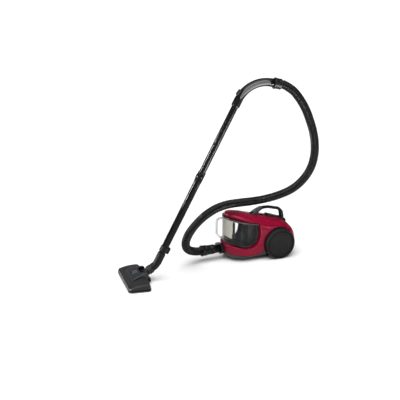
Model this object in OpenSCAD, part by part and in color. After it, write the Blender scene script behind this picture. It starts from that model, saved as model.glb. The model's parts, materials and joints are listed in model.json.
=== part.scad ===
// Bagless canister vacuum cleaner with hose, wand and floor head.
// The canister's nose points along -X, +Z is up, and everything stands on z = 0.

/* [Canister body] */
// Half of the body's width between the wheels
body_half_w = 104; // [96:1:106]
// Distance of the rear face behind the canister's own origin
body_rear_x = 220; // [216:1:224]
// Centre of the round nose, seen from above
nose_x = -50; // [-54:1:-46]
// Height of the chassis floor above the ground
ground_gap = 14; // [12:1:16]
// Height of the seam between the chassis and the red lower shell
chassis_top = 44; // [42:1:46]
// Height of the seam between the lower and the upper red shell
shell_seam = 126; // [120:1:130]
// Wall of the moulded shells
wall = 3; // [2.5:0.1:3.2]

/* [Dust bin] */
// Outer radius of the bin's round front
bin_r = 86; // [82:1:88]
// Rise of the bin's rails towards the nose, in degrees
rail_angle = 13; // [11:1:14]
// Wall of the clear container
bin_wall = 2.2; // [2:0.1:3]
// Width of the clear grip in front of the bin
grip_w = 18; // [14:1:22]

/* [Wheels] */
// Radius of a rear wheel
wheel_r = 78; // [76:1:79]
// Distance of a rear wheel's outer face from the centre plane
wheel_face_y = 126; // [122:1:130]
// Width of a rear wheel
wheel_w = 26; // [22:1:28]
// Rear axle's distance behind the origin
axle_x = 112; // [110:1:114]
// Radius of a rear axle pin
axle_r = 6; // [5:0.5:7]
// Radius of the front caster's wheel
caster_r = 12; // [11:0.5:13]

/* [Hose] */
// Outer diameter of the ribbed hose
hose_d = 42; // [40:1:42]
// Wall of the hose between its ribs
hose_wall = 2; // [1.5:0.1:3]
// Height of the inlet's axis
inlet_z = 54; // [52:1:56]

/* [Wand] */
// Outer radius of the lower tube
tube_r = 17.5; // [16:0.5:18]
// Wall of the wand's tubes
tube_wall = 1.5; // [1:0.1:2]
// Angle of the wand above the floor
wand_angle = 63; // [60:0.5:66]
// Length of the wand from the elbow's corner to the handle
wand_len = 882; // [840:1:900]
// Turn of the wand's upright plane about the vertical
wand_yaw = 8; // [4:1:12]
// Radius of the handle's curve
grip_bend_r = 142; // [138:1:150]
// Outer radius of the handle's tube
grip_r = 20; // [18:0.5:21]

/* [Floor head] */
// Width of the floor head
head_w = 280; // [260:2:300]
// Distance from the neck's pivot to the head's front edge
head_front = 104; // [98:1:108]
// Height of the neck's pivot
pivot_z = 36; // [34:1:38]
// Angle of the neck above the floor at rest
neck_angle = 36; // [32:1:40]
// Length of the neck from its pivot to the elbow's corner
neck_len = 75; // [74:1:84]
// Radius of the head's rear wheels
head_wheel_r = 22; // [20:0.5:23]

/* [Hidden] */
$fn = 64;
eps = 0.01;
// Air left between a fixed part and a part that moves
gap = 0.5;
// Radial play of a pin that turns in its bore
play = 0.06;
far = 400;

// The neck's pivot, seen from above
pivot_x = -613;
pivot_y = -124;
// The row's origin is the middle of the footprint
shift_x = -(body_rear_x + pivot_x - head_front * cos(wand_yaw) - head_w / 2 * sin(wand_yaw)) / 2;
shift_y = -(wheel_face_y + pivot_y - head_w / 2 * cos(wand_yaw)) / 2;

// Bin pocket: a line along the rails, a round heel and a rear wall
heel_x = -71;
heel_z = 150;
heel_r = 80;
pocket_rear_x = 15;
arm_foot_z = 187;
rail_slope = tan(rail_angle);

// Wand plane: u runs from the neck's pivot towards the handle
corner = [neck_len * cos(neck_angle), pivot_z + neck_len * sin(neck_angle)];
grip_start = corner + wand_len * [cos(wand_angle), sin(wand_angle)];
grip_sweep = 77;
grip_end_angle = wand_angle - grip_sweep;
grip_centre = grip_start + grip_bend_r * [sin(wand_angle), -cos(wand_angle)];
grip_end = grip_centre + grip_bend_r * [-sin(grip_end_angle), cos(grip_end_angle)];
collar_len = 48;
// Straight end of the grip tube, inside the collar
grip_stub = 10;
upper_tube_r = 16;
tube_joint = 500;

// Hose route, from the handle's collar over the carry handle to the inlet
hose_route = [
    [117, -215, 887],
    [162, -199, 836],
    [201, -181, 780],
    [233, -163, 720],
    [260, -149, 656],
    [277, -139, 589],
    [281, -130, 520],
    [268, -118, 452],
    [237, -100, 392],
    [194, -74, 343],
    [142, -42, 309],
    [81, -14, 287],
    [13, 1, 278],
    [-57, -3, 281],
    [-123, -24, 289],
    [-185, -57, 296],
    [-246, -91, 294],
    [-308, -114, 273],
    [-359, -113, 225],
    [-378, -91, 173],
    [-374, -64, 130],
    [-358, -39, 98],
    [-336, -20, 76],
    [-312, -8, 63],
    [-288, -2, 56]
];
// Rings between two points of the route
hose_steps = 2;
hose_sides = 12;

// ---------------------------------------------------------------- helpers

function arc(c, r, a0, a1, n) = [for (i = [0:n]) c + r * [cos(a0 + (a1 - a0) * i / n), sin(a0 + (a1 - a0) * i / n)]];

// A side view drawn in x and z, as thick as 2 * half_w
module side_slab(points, half_w) {
    rotate([90, 0, 0]) translate([0, 0, -half_w]) linear_extrude(2 * half_w) polygon(points);
}

// A cylinder along Y from y0 to y1
module y_cylinder(r, y0, y1, x = 0, z = 0) {
    translate([x, y0, z]) rotate([-90, 0, 0]) cylinder(r = r, h = y1 - y0);
}

// A cylinder along X from x0 to x1
module x_cylinder(r, x0, x1, y = 0, z = 0) {
    translate([x0, y, z]) rotate([0, 90, 0]) cylinder(r = r, h = x1 - x0);
}

// Puts the canister in the row's frame
module canister() {
    translate([shift_x, shift_y, 0]) children();
}

// Puts the wand's plane (u along x, across along y) in the row's frame
module wand_plane() {
    translate([shift_x + pivot_x, shift_y + pivot_y, 0]) rotate([0, 0, -wand_yaw]) children();
}

// Z becomes the direction that rises at the given angle from a point of the wand's plane
module along(point, angle) {
    translate([point[0], 0, point[1]]) rotate([0, 90 - angle, 0]) children();
}

module both_sides() {
    children();
    mirror([0, 1, 0]) children();
}

// ---------------------------------------------------------------- body outlines

module body_plan(inset) {
    r = body_half_w - inset;
    corner_r = 60;
    rear_flat = body_half_w - corner_r;
    translate([nose_x, 0]) circle(r = r, $fn = 96);
    translate([nose_x, -r]) square([body_rear_x - corner_r - nose_x, 2 * r]);
    translate([nose_x, -rear_flat]) square([body_rear_x - inset - nose_x, 2 * rear_flat]);
    for (s = [-1, 1]) translate([body_rear_x - corner_r, s * rear_flat]) circle(r = corner_r - inset, $fn = 96);
}

// The tongue over the bin, seen from above
module arm_plan(inset) {
    a = 173 - inset;
    b = 98 - inset;
    polygon([for (t = [90:7.5:270]) [pocket_rear_x + a * cos(t), b * sin(t)]]);
}

// The upper outline in side view, lowered by d
function crown(d) = [
    [-160 + d, 224], [-158 + d, 236 - d / 2], [-149 + d, 243 - d], [-130, 246 - d], [-100, 245 - d],
    [-50, 236.5 - d], [0, 223 - d], [60, 206.5 - d], [110, 190.5 - d], [150, 175.5 - d],
    [178 - d / 2, 161 - d], [197 - d, 147 - d / 2], [210 - d, 131], [217 - d, 114], [body_rear_x - d, 98]
];

// The pocket for the bin, grown by d: rails below, round heel, rear wall, arm above
function pocket(d) = concat(
    [[-far, heel_z - (heel_r + d) / cos(rail_angle) + (far + heel_x) * rail_slope]],
    arc([heel_x, heel_z], heel_r + d, -90 - rail_angle, -8, 16),
    [
        [pocket_rear_x + d, heel_z],
        [pocket_rear_x + d, arm_foot_z + d],
        [-far, arm_foot_z + d + (far + pocket_rear_x) * rail_slope]
    ]
);

module wheel_wells(r, from_y) {
    both_sides() y_cylinder(r, from_y, 160, axle_x, wheel_r);
}

// ---------------------------------------------------------------- canister shells

function hull_line(d) = [
    [-150 + d, chassis_top], [-140 + d, 31 + d], [-114, 20 + d], [-98, ground_gap + d],
    [162, ground_gap + d], [194, 21 + d], [212 - d, 34], [216 - d, chassis_top]
];

// Swivel axis of the front caster
caster_x = -60;
// Inner and outer ends of the bosses that hold the rear axles
boss_y = 74.5;
boss_end = 87.7;

module chassis() color("#2f3133") canister() {
    difference() {
        union() {
            difference() {
                intersection() {
                    linear_extrude(chassis_top) body_plan(1);
                    side_slab(hull_line(0), 120);
                }
                intersection() {
                    linear_extrude(chassis_top + 1) body_plan(1 + wall);
                    side_slab(concat(hull_line(wall), [[212, 60], [-146, 60]]), 120);
                }
            }
            translate([caster_x, 0, ground_gap]) cylinder(r = 34, h = 26);
            both_sides() y_cylinder(12, boss_y, boss_end, axle_x, wheel_r);
            both_sides() translate([axle_x - 6, boss_y, ground_gap]) cube([12, boss_end - boss_y, 56]);
        }
        translate([caster_x, 0, 0]) cylinder(r = 31, h = 33);
        translate([caster_x, 0, 0]) cylinder(r = 4.5, h = 60);
        both_sides() y_cylinder(axle_r + 0.01, 60, 100, axle_x, wheel_r);
        x_cylinder(socket_r + 0.05, -220, socket_x + 0.1, 0, inlet_z);
        wheel_wells(84.3, 90.7);
    }
}

module lower_shell() color("#9c0f2b") canister() {
    difference() {
        translate([0, 0, chassis_top]) linear_extrude(shell_seam - chassis_top) body_plan(0);
        side_slab(pocket(0), 130);
        difference() {
            translate([0, 0, chassis_top - 1]) linear_extrude(shell_seam) body_plan(wall);
            side_slab(pocket(wall), 130);
            both_sides() translate([18, 87.8, 0]) cube([190, 20, 200]);
        }
        x_cylinder(socket_r + 0.05, -220, socket_x + 0.1, 0, inlet_z);
        translate([-220, -10, inlet_z]) cube([75, 20, 34]);
        translate([riser_x, 0, 40]) cylinder(r = duct_r + 0.1, h = 50);
        wheel_wells(84.3, 90.7);
        both_sides() y_cylinder(axle_r + gap, 80, 100, axle_x, wheel_r);
        translate([202, -46, 60]) cube([40, 54, 44]);
        translate([202, 18, 60]) cube([40, 16, 22]);
    }
}

module shell_outer(inset, d) {
    intersection() {
        linear_extrude(300) {
            intersection() {
                body_plan(inset);
                translate([pocket_rear_x, -130]) square([260, 260]);
            }
            arm_plan(inset);
        }
        side_slab(concat(crown(d), [[body_rear_x - d, 60], [-160 + d, 60]]), 130);
    }
}

module top_shell() color("#b01030") canister() {
    difference() {
        shell_outer(0, 0);
        translate([-250, -130, 0]) cube([500, 260, shell_seam]);
        side_slab(pocket(0), 130);
        difference() {
            shell_outer(wall, wall);
            side_slab(pocket(wall), 130);
        }
        wheel_wells(84.3, 90.7);
        button_hole(release_at, release_size, gap);
        for (s = [-1, 1]) button_hole(pedal_at(s), pedal_size, gap);
    }
}

module wheel_arches() color("#1b1c1d") canister() {
    difference() {
        both_sides() difference() {
            y_cylinder(84, 91, body_half_w, axle_x, wheel_r);
            y_cylinder(81, 94, 130, axle_x, wheel_r);
            y_cylinder(axle_r + play, 80, 100, axle_x, wheel_r);
        }
        translate([0, -130, -20]) cube([260, 260, 20 + ground_gap + 8]);
        difference() {
            translate([0, -130, 0]) cube([260, 260, 240]);
            linear_extrude(260) body_plan(0);
        }
    }
}

// ---------------------------------------------------------------- carry handle and buttons

carry_half_w = 14;

module carry_handle() color("#1f2124") canister() {
    side_slab([
        [6, 221.6], [26, 231], [54, 242], [64, 243.5], [84, 243.5], [96, 242], [150, 228], [170, 216],
        [180, 200], [183, 171.5], [160, 177.2], [157, 195], [151, 205], [142, 214], [94, 229.5],
        [76, 231.5], [58, 229.5], [40, 219.5], [32, 214.5]
    ], carry_half_w);
}

module handle_base() color("#17181a") canister() {
    side_slab([
        [84, 199.1], [110, 190.7], [150, 175.7], [168, 166.5], [178, 161.4], [187, 154.8], [188, 160], [184.5, 163],
        [184.5, 170.9], [148, 180], [110, 194.5], [85, 202.2]
    ], 19);
}

// A button's place (top face centre), tilted like the shell under it
release_at = [63, 0, 210, 15.5];
release_size = [24, 22, 18];
pedal_size = [24, 34, 20];
function pedal_at(side) = [176, side * 47, 166.5, 30];

module button_frame(at) {
    translate([at[0], at[1], at[2]]) rotate([0, at[3], 0]) children();
}

module button_hole(at, size, air) {
    button_frame(at) translate([-size[0] / 2 - air, -size[1] / 2 - air, -40])
        cube([size[0] + 2 * air, size[1] + 2 * air, 80]);
}

module button(at, size, flange) {
    button_frame(at) {
        translate([-size[0] / 2, -size[1] / 2, -size[2]]) cube(size);
        translate([-size[0] / 2 - flange, -size[1] / 2 - flange, -size[2] - 2])
            cube([size[0] + 2 * flange, size[1] + 2 * flange, 2]);
    }
}

module release_button() color("#26282b") canister() button(release_at, release_size, 2);
module power_pedal() color("#2b2022") canister() button(pedal_at(-1), pedal_size, 2);
module rewind_pedal() color("#2b2022") canister() button(pedal_at(1), pedal_size, 2);

// ---------------------------------------------------------------- rear of the canister

module exhaust_grille() color("#222426") canister() {
    difference() {
        translate([214, -45.7, 60.3]) cube([6, 53.4, 43.4]);
        for (i = [0:6]) translate([202, -42, 64 + 5.4 * i]) cube([30, 46, 3]);
    }
}

module exhaust_filter() color("#e8e6dc") canister() translate([198, -43, 62]) cube([14, 48, 40]);

module cord_outlet() color("#17181a") canister() difference() {
    translate([212, 18.3, 60.3]) cube([8, 15.4, 21.4]);
    x_cylinder(4.5, 202, 232, 26, 71);
}

// ---------------------------------------------------------------- inside the canister

motor_y = 19.5;
motor_z = 90;
chassis_floor = ground_gap + wall + 0.1;

module motor_housing() color("#3a3c3f") canister() {
    difference() {
        union() {
            x_cylinder(54, 39, 118, motor_y, motor_z);
            translate([24, -36, 34]) cube([18, 110, 112]);
            translate([40, motor_y - 30, chassis_floor]) cube([68, 60, 32]);
        }
        x_cylinder(50, 45, 130, motor_y, motor_z);
        x_cylinder(22, 20, 60, motor_y, motor_z);
        translate([20, -32, 40]) cube([18, 102, 100]);
    }
}

module motor() color("#8d9094") canister() {
    difference() {
        x_cylinder(44, 64, 112, motor_y, motor_z);
        x_cylinder(41, 67, 120, motor_y, motor_z);
    }
    x_cylinder(26, 66, 113, motor_y, motor_z);
    x_cylinder(30, 112, 124, motor_y, motor_z);
    x_cylinder(5, 46, 67, motor_y, motor_z);
}

module impeller() color("#b9bcc0") canister() difference() {
    x_cylinder(46, 48, 61, motor_y, motor_z);
    x_cylinder(5 + play, 40, 66, motor_y, motor_z);
    for (i = [0:11]) translate([47, motor_y, motor_z]) rotate([30 * i, 0, 0]) translate([0, -3, 18]) cube([11, 6, 24]);
}

module premotor_filter() color("#d9d9d2") canister() translate([24.5, -31.8, 40.2]) cube([13, 101.6, 99.6]);

reel_y0 = -71;
reel_y1 = -37;
reel_x = 104;
reel_z = 100;

module cord_reel() color("#4a4c50") canister() difference() {
    union() {
        y_cylinder(64, reel_y0, reel_y0 + 3, reel_x, reel_z);
        y_cylinder(64, reel_y1 - 3, reel_y1, reel_x, reel_z);
        y_cylinder(52, reel_y0, reel_y1, reel_x, reel_z);
    }
    y_cylinder(40, reel_y0 - 1, reel_y1 - 4, reel_x, reel_z);
    y_cylinder(8 + play, reel_y0 - 1, reel_y1 + 1, reel_x, reel_z);
}

module reel_spindle() color("#9a9da1") canister() y_cylinder(8, -87.7, reel_y1 + 1, reel_x, reel_z);

module circuit_board() color("#1f6b3a") canister() translate([92, 0, 146]) cube([34, 60, 1.6]);

// ---------------------------------------------------------------- inlet and hose ends

// Rear end of the socket, and the duct that leads from it up to the bin
socket_x = -139;
socket_r = 27;
duct_r = 13;
riser_x = heel_x - 8;

module inlet_socket() color("#2a2c2f") canister() difference() {
    union() {
        x_cylinder(socket_r, -162, socket_x, 0, inlet_z);
        x_cylinder(socket_r + 2, -167, -160, 0, inlet_z);
    }
    x_cylinder(21.5, -200, socket_x - 3, 0, inlet_z);
    x_cylinder(duct_r - 2, -200, socket_x + 1, 0, inlet_z);
    translate([-186, -9.7, inlet_z]) cube([28.5, 19.4, 40]);
}

module inlet_duct() color("#34363a") canister() difference() {
    union() {
        x_cylinder(duct_r, socket_x + 0.05, riser_x, 0, inlet_z);
        translate([riser_x, 0, inlet_z - duct_r]) cylinder(r = duct_r, h = 36);
    }
    x_cylinder(duct_r - 2, socket_x - 1, riser_x, 0, inlet_z);
    translate([riser_x, 0, inlet_z - duct_r + 2]) cylinder(r = duct_r - 2, h = 40);
    side_slab(pocket(0), 40);
}

// End of the connector, where the hose begins
connector_end = -238;

module hose_connector() color("#141517") canister() difference() {
    union() {
        x_cylinder(21, connector_end, socket_x - 4, 0, inlet_z);
        x_cylinder(24, connector_end, -200, 0, inlet_z);
    }
    x_cylinder(hose_d / 2 - hose_wall, connector_end - 1, socket_x, 0, inlet_z);
}

module connector_button() color("#6c7075") canister() difference() {
    translate([-192, -9, inlet_z + 24]) cube([33.5, 18, 6.5]);
    translate([-192, -20, inlet_z + 27]) rotate([0, -20, 0]) translate([-20, 0, 0]) cube([20, 40, 20]);
}

module swivel_collar() color("#101113") canister() difference() {
    union() {
        x_cylinder(26.5, -268, connector_end - 0.4, 0, inlet_z);
        x_cylinder(28, -268, -260, 0, inlet_z);
    }
    x_cylinder(hose_d / 2 + 0.6, -270, -230, 0, inlet_z);
}

// ---------------------------------------------------------------- hose

function between(a, b, c, d, t) =
    0.5 * (2 * b + (c - a) * t + (2 * a - 5 * b + 4 * c - d) * pow(t, 2) + (3 * b - a - 3 * c + d) * pow(t, 3));

// The hose starts on the grip tube's end face and stops on the connector's
function in_canister(p) = [pivot_x + p[0] * cos(wand_yaw), pivot_y - p[0] * sin(wand_yaw), p[1]];
function beyond_grip(d) = in_canister(grip_end + d * [cos(grip_end_angle), sin(grip_end_angle)]);
hose_pegs = concat(
    [for (d = [-9, grip_stub, 29, 48, 66]) beyond_grip(d)],
    hose_route,
    [for (x = [-268, -250, connector_end, connector_end + 14]) [x, 0, inlet_z]]
);
hose_path = concat(
    [for (i = [1:len(hose_pegs) - 3]) for (k = [0:hose_steps - 1])
        between(hose_pegs[i - 1], hose_pegs[i], hose_pegs[i + 1], hose_pegs[i + 2], k / hose_steps)],
    [hose_pegs[len(hose_pegs) - 2]]
);

function unit(v) = v / norm(v);
function heading(path, i) = unit(path[min(i + 1, len(path) - 1)] - path[max(i - 1, 0)]);
// Frames that turn as little as possible from ring to ring
function frames(path, i = 0, side = [0, 1, 0], out = []) =
    i == len(path) ? out :
    let (t = heading(path, i), n = unit(side - (side * t) * t))
    frames(path, i + 1, n, concat(out, [[n, cross(t, n)]]));
function ring(p, f, r) = [for (k = [0:hose_sides - 1]) let (a = 360 * k / hose_sides) p + r * (cos(a) * f[0] + sin(a) * f[1])];

module swept_pipe(path, r_out, r_in) {
    f = frames(path);
    m = len(path);
    n = hose_sides;
    points = concat(
        [for (i = [0:m - 1]) each ring(path[i], f[i], r_out)],
        [for (i = [0:m - 1]) each ring(path[i], f[i], r_in)]
    );
    inner = m * n;
    outside = [for (i = [0:m - 2]) for (k = [0:n - 1]) let (j = (k + 1) % n)
        [i * n + k, (i + 1) * n + k, (i + 1) * n + j, i * n + j]];
    inside = [for (i = [0:m - 2]) for (k = [0:n - 1]) let (j = (k + 1) % n)
        [inner + i * n + k, inner + i * n + j, inner + (i + 1) * n + j, inner + (i + 1) * n + k]];
    first = [for (k = [0:n - 1]) let (j = (k + 1) % n) [k, j, inner + j, inner + k]];
    last = [for (k = [0:n - 1]) let (j = (k + 1) % n, b = (m - 1) * n)
        [b + k, inner + b + k, inner + b + j, b + j]];
    polyhedron(points, concat(outside, inside, first, last), convexity = 10);
}

module hose() color("#1b1c1e") canister() swept_pipe(hose_path, hose_d / 2, hose_d / 2 - hose_wall);

// ---------------------------------------------------------------- wheels

module wheel_disc() {
    y0 = wheel_face_y - wheel_w;
    difference() {
        union() {
            difference() {
                y_cylinder(wheel_r - 8.05, y0, wheel_face_y - 0.6, axle_x, wheel_r);
                y_cylinder(wheel_r - 13, y0 - 1, wheel_face_y - 8, axle_x, wheel_r);
            }
            y_cylinder(14, y0, wheel_face_y - 7, axle_x, wheel_r);
            for (i = [0:5]) translate([axle_x, 0, wheel_r]) rotate([0, 60 * i, 0])
                translate([12, y0 + 3, -2]) cube([54, wheel_w - 10, 4]);
        }
        y_cylinder(axle_r + play, y0 - 2, wheel_face_y - 9, axle_x, wheel_r);
        y_cylinder(63, wheel_face_y - 5, wheel_face_y + 2, axle_x, wheel_r);
    }
}

module wheel_tyre() difference() {
    y_cylinder(wheel_r, wheel_face_y - wheel_w, wheel_face_y, axle_x, wheel_r);
    y_cylinder(wheel_r - 8, wheel_face_y - wheel_w - 1, wheel_face_y + 1, axle_x, wheel_r);
}

module wheel_cap() y_cylinder(62.8, wheel_face_y - 4.9, wheel_face_y - 1.6, axle_x, wheel_r);

module left_wheel() color("#1d1e20") canister() mirror([0, 1, 0]) wheel_disc();
module right_wheel() color("#1d1e20") canister() wheel_disc();
module left_tyre() color("#111213") canister() mirror([0, 1, 0]) wheel_tyre();
module right_tyre() color("#111213") canister() wheel_tyre();
module left_cap() color("#2c2c2c") canister() mirror([0, 1, 0]) wheel_cap();
module right_cap() color("#2c2c2c") canister() wheel_cap();

module axles() color("#a9adb2") canister() both_sides() y_cylinder(axle_r, boss_y - 0.5, wheel_face_y - 9.5, axle_x, wheel_r);

caster_trail = 13;

module caster_fork() color("#2a2b2d") canister() translate([caster_x, 0, 0]) {
    difference() {
        union() {
            translate([0, 0, 26.5]) cylinder(r = 26, h = 5.5);
            translate([0, 0, 31]) cylinder(r = 4.44, h = 13);
            for (s = [-1, 1]) translate([0, s * 11, 0]) side_slab([[-4, 28], [6, 9], [20, 9], [22, 28]], 2);
        }
        y_cylinder(2.5, -20, 20, caster_trail, caster_r);
    }
}

module caster_wheel() color("#151617") canister() difference() {
    y_cylinder(caster_r, -8.5, 8.5, caster_x + caster_trail, caster_r);
    y_cylinder(2.5 + play, -10, 10, caster_x + caster_trail, caster_r);
}

module caster_pin() color("#a9adb2") canister() y_cylinder(2.5, -14, 14, caster_x + caster_trail, caster_r);

// ---------------------------------------------------------------- dust bin

bin_x = -60;
bin_half_w = bin_r;
// The lid's underside lies this far below the arm
lid_t = 9;
// The cyclone stands on this point, leaning towards the rear
cone_x = -50;
cone_z = 92;
cone_lean = 8;
module cone_place() translate([cone_x, 0, cone_z]) rotate([0, cone_lean, 0]) children();

module bin_plan(inset) {
    translate([bin_x, 0]) circle(r = bin_r - inset, $fn = 96);
    translate([bin_x, -(bin_half_w - inset)]) square([pocket_rear_x - bin_x - 1.5 - inset, 2 * (bin_half_w - inset)]);
}

// Side view of the bin, smaller than its pocket by d, with its top lowered by e
function bin_side(d, e) = concat(
    [[-far, heel_z - (heel_r - d) / cos(rail_angle) + (far + heel_x) * rail_slope]],
    arc([heel_x, heel_z], heel_r - d, -90 - rail_angle, -8, 16),
    [
        [pocket_rear_x - d, heel_z],
        [pocket_rear_x - d, arm_foot_z - e],
        [-far, arm_foot_z - e + (far + pocket_rear_x) * rail_slope]
    ]
);

module bin_solid(inset, d, e) intersection() {
    linear_extrude(300) bin_plan(inset);
    side_slab(bin_side(d, e), 120);
}

module bin_container() color("#d8dcd8", 0.4) canister() difference() {
    bin_solid(0, 1.2, lid_t + 1);
    bin_solid(bin_wall, 1.2 + bin_wall, lid_t);
    translate([riser_x, 0, 60]) cylinder(r = duct_r - 2, h = 20);
}

module bin_lid() color("#26282b") canister() difference() {
    bin_solid(0, 1.2, 1.2);
    side_slab(bin_side(-2, lid_t + 0.8), 130);
    cone_place() cylinder(r = 18, h = 140);
}

module bin_grip() color("#e2e5e0", 0.5) canister() difference() {
    side_slab([
        [-140, 108], [-166, 108], [-178, 118], [-186, 134], [-187, 198], [-182, 210], [-172, 217],
        [-140, 217], [-140, 209], [-170, 209], [-176, 203], [-178, 194], [-177, 136], [-172, 124],
        [-163, 116], [-140, 116]
    ], grip_w / 2);
    linear_extrude(300) bin_plan(-0.1);
}

// Underside of the lid at x
function lid_z(x) = arm_foot_z - lid_t - 0.8 + (pocket_rear_x - x) * rail_slope;

module cyclone_cone() color("#2b2f36") canister() intersection() {
    difference() {
        cone_place() {
            translate([0, 0, 38]) cylinder(r = 23, h = 90);
            translate([0, 0, 10]) cylinder(r1 = 34, r2 = 23, h = 28.5);
            translate([0, 0, -8]) cylinder(r = 34, h = 18.5);
            for (i = [0:5]) translate([0, 0, 44 + 5.5 * i]) cylinder(r = 25, h = 2.5);
        }
        cone_place() translate([0, 0, -20]) cylinder(r = 18, h = 160);
        side_slab([[-200, lid_z(-200) - 0.05], [100, lid_z(100) - 0.05], [100, 400], [-200, 400]], 60);
    }
    bin_solid(bin_wall + 0.1, 1.3 + bin_wall, lid_t);
}

module inner_panel() color("#e6e4d6") canister() difference() {
    intersection() {
        translate([0, 0, 100]) linear_extrude(95) difference() {
            bin_plan(bin_wall + 0.05);
            bin_plan(bin_wall + 2);
        }
        translate([-200, -66, 0]) cube([78, 132, 300]);
    }
    translate([-155, -5, 150]) cube([20, 10, 10]);
}

// ---------------------------------------------------------------- handle and wand

// A bent rod round the grip's centre, from a0 to a1 degrees after its start
module grip_arc(r, a0 = 0, a1 = grip_sweep) translate([grip_centre[0], 0, grip_centre[1]])
    rotate([90, 0, 0]) rotate([0, 0, wand_angle + 90 - a1])
        rotate_extrude(angle = a1 - a0, $fn = 96) translate([grip_bend_r, 0]) circle(r = r, $fn = 48);

module grip_tube() color("#1a1b1d") wand_plane() difference() {
    union() {
        grip_arc(grip_r);
        along(grip_start, wand_angle) translate([0, 0, -34]) cylinder(r = grip_r + 0.8, h = 37);
        along(grip_end, grip_end_angle) translate([0, 0, -3]) cylinder(r = grip_r + 0.8, h = grip_stub + 3);
    }
    grip_arc(grip_r - 3, -0.01, grip_sweep + 0.01);
    along(grip_start, wand_angle) translate([0, 0, -35]) cylinder(r = upper_tube_r + 0.02, h = 38);
    along(grip_end, grip_end_angle) translate([0, 0, -3]) cylinder(r = grip_r - 2.5, h = grip_stub + 4);
    slider_box(slider_mid, slider_len + 12, 14.6, -8, 6);
}

// The suction slider sits on the outside of the bend
slider_mid = 12;
slider_len = 30;
module slider_box(a, len_u, half_v, z0, z1) {
    turn = wand_angle + 90 - a;
    translate([grip_centre[0], 0, grip_centre[1]]) rotate([0, -turn, 0])
        translate([grip_bend_r + grip_r + z0, -half_v, -len_u / 2]) cube([z1 - z0, 2 * half_v, len_u]);
}

module suction_slider() color("#2d3034") wand_plane() difference() {
    union() {
        slider_box(slider_mid, slider_len, 12, -1.4, 5);
        slider_box(slider_mid, slider_len, 4, -7, 0);
    }
    for (i = [-2:2]) slider_box(slider_mid + i * 1.9, 2.2, 13, 3.6, 8);
}

module grip_inlays() color("#6b6d70") wand_plane() difference() {
    grip_arc(grip_r + 1.2, 4, grip_sweep - 2);
    grip_arc(grip_r + 0.02, 3, grip_sweep - 1);
    translate([grip_centre[0], 0, grip_centre[1]]) rotate([90, 0, 0])
        translate([0, 0, -41]) cylinder(r = grip_bend_r - 9, h = 82, $fn = 96);
    translate([grip_centre[0], 0, grip_centre[1]]) rotate([90, 0, 0]) difference() {
        translate([0, 0, -40]) cylinder(r = grip_bend_r + 40, h = 80, $fn = 96);
        translate([0, 0, -41]) cylinder(r = grip_bend_r + 12, h = 82, $fn = 96);
    }
}

module grip_collar() color("#20262d") wand_plane() along(grip_end, grip_end_angle) difference() {
    union() {
        translate([0, 0, 10.4]) cylinder(r = 26, h = collar_len - 12.4);
        translate([0, 0, 12]) cylinder(r = 27.5, h = 8);
    }
    translate([0, 0, 9]) cylinder(r = hose_d / 2 + 0.6, h = collar_len);
}

module wand_tube(r, s0, s1) along(corner, wand_angle) difference() {
    translate([0, 0, s0]) cylinder(r = r, h = s1 - s0);
    translate([0, 0, s0 - 1]) cylinder(r = r - tube_wall, h = s1 - s0 + 2);
}

module upper_tube() color("#24262a") wand_plane() wand_tube(upper_tube_r, tube_joint - 44, wand_len - 1);

module lower_tube() color("#141516") wand_plane() along(corner, wand_angle) difference() {
    union() {
        translate([0, 0, tube_foot]) cylinder(r = tube_r, h = tube_joint - tube_foot);
        translate([0, 0, tube_joint - 52]) cylinder(r = tube_r + 1.5, h = 52);
    }
    translate([0, 0, 30]) cylinder(r = tube_r - tube_wall, h = tube_joint - 70);
    translate([0, 0, tube_joint - 45]) cylinder(r = upper_tube_r + 0.02, h = 60);
}

module park_clip() color("#101112") wand_plane() along(corner, wand_angle) difference() {
    union() {
        translate([0, 0, 70]) cylinder(r = tube_r + 2.6, h = 26);
        translate([14, -7, 66]) cube([15, 14, 34]);
    }
    translate([0, 0, 60]) cylinder(r = tube_r + 0.02, h = 60);
    translate([tube_r + 4.5, -12, 60]) cube([4, 24, 30]);
}

// ---------------------------------------------------------------- elbow and neck

elbow_turn = wand_angle - neck_angle;
elbow_r = 60;
elbow_leg = elbow_r * tan(elbow_turn / 2);
elbow_centre = corner + elbow_leg * -[cos(neck_angle), sin(neck_angle)] + elbow_r * [-sin(neck_angle), cos(neck_angle)];
neck_joint = 46;

module elbow_arc(r) translate([elbow_centre[0], 0, elbow_centre[1]])
    rotate([90, 0, 0]) rotate([0, 0, neck_angle - 90])
        rotate_extrude(angle = elbow_turn, $fn = 96) translate([elbow_r, 0]) circle(r = r, $fn = 48);

// Where the lower tube stands inside the elbow, and where the elbow's straight leg begins
tube_foot = 34;
elbow_end = neck_len - elbow_leg;

module elbow() color("#191a1b") wand_plane() difference() {
    union() {
        elbow_arc(18.8);
        along([0, pivot_z], neck_angle) translate([0, 0, neck_joint + 0.4])
            cylinder(r = 19.5, h = elbow_end - neck_joint + 1.6);
        along(corner, wand_angle) translate([0, 0, elbow_leg - 2]) cylinder(r = 19.5, h = 60 - elbow_leg);
    }
    elbow_arc(14);
    along([0, pivot_z], neck_angle) translate([0, 0, neck_joint - 1]) cylinder(r = 14.5, h = elbow_end - neck_joint + 3);
    along(corner, wand_angle) translate([0, 0, elbow_leg - 2]) cylinder(r = 14.5, h = tube_foot - elbow_leg + 3);
    along(corner, wand_angle) translate([0, 0, tube_foot]) cylinder(r = tube_r + 0.02, h = 40);
}

module neck() color("#1c1d1f") wand_plane() difference() {
    union() {
        y_cylinder(17, -25, 25, 0, pivot_z);
        along([0, pivot_z], neck_angle) cylinder(r = 19, h = neck_joint);
    }
    along([0, pivot_z], neck_angle) translate([0, 0, 6]) cylinder(r = 14.5, h = 80);
    y_cylinder(3 + play, -40, 40, 0, pivot_z);
}

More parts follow.
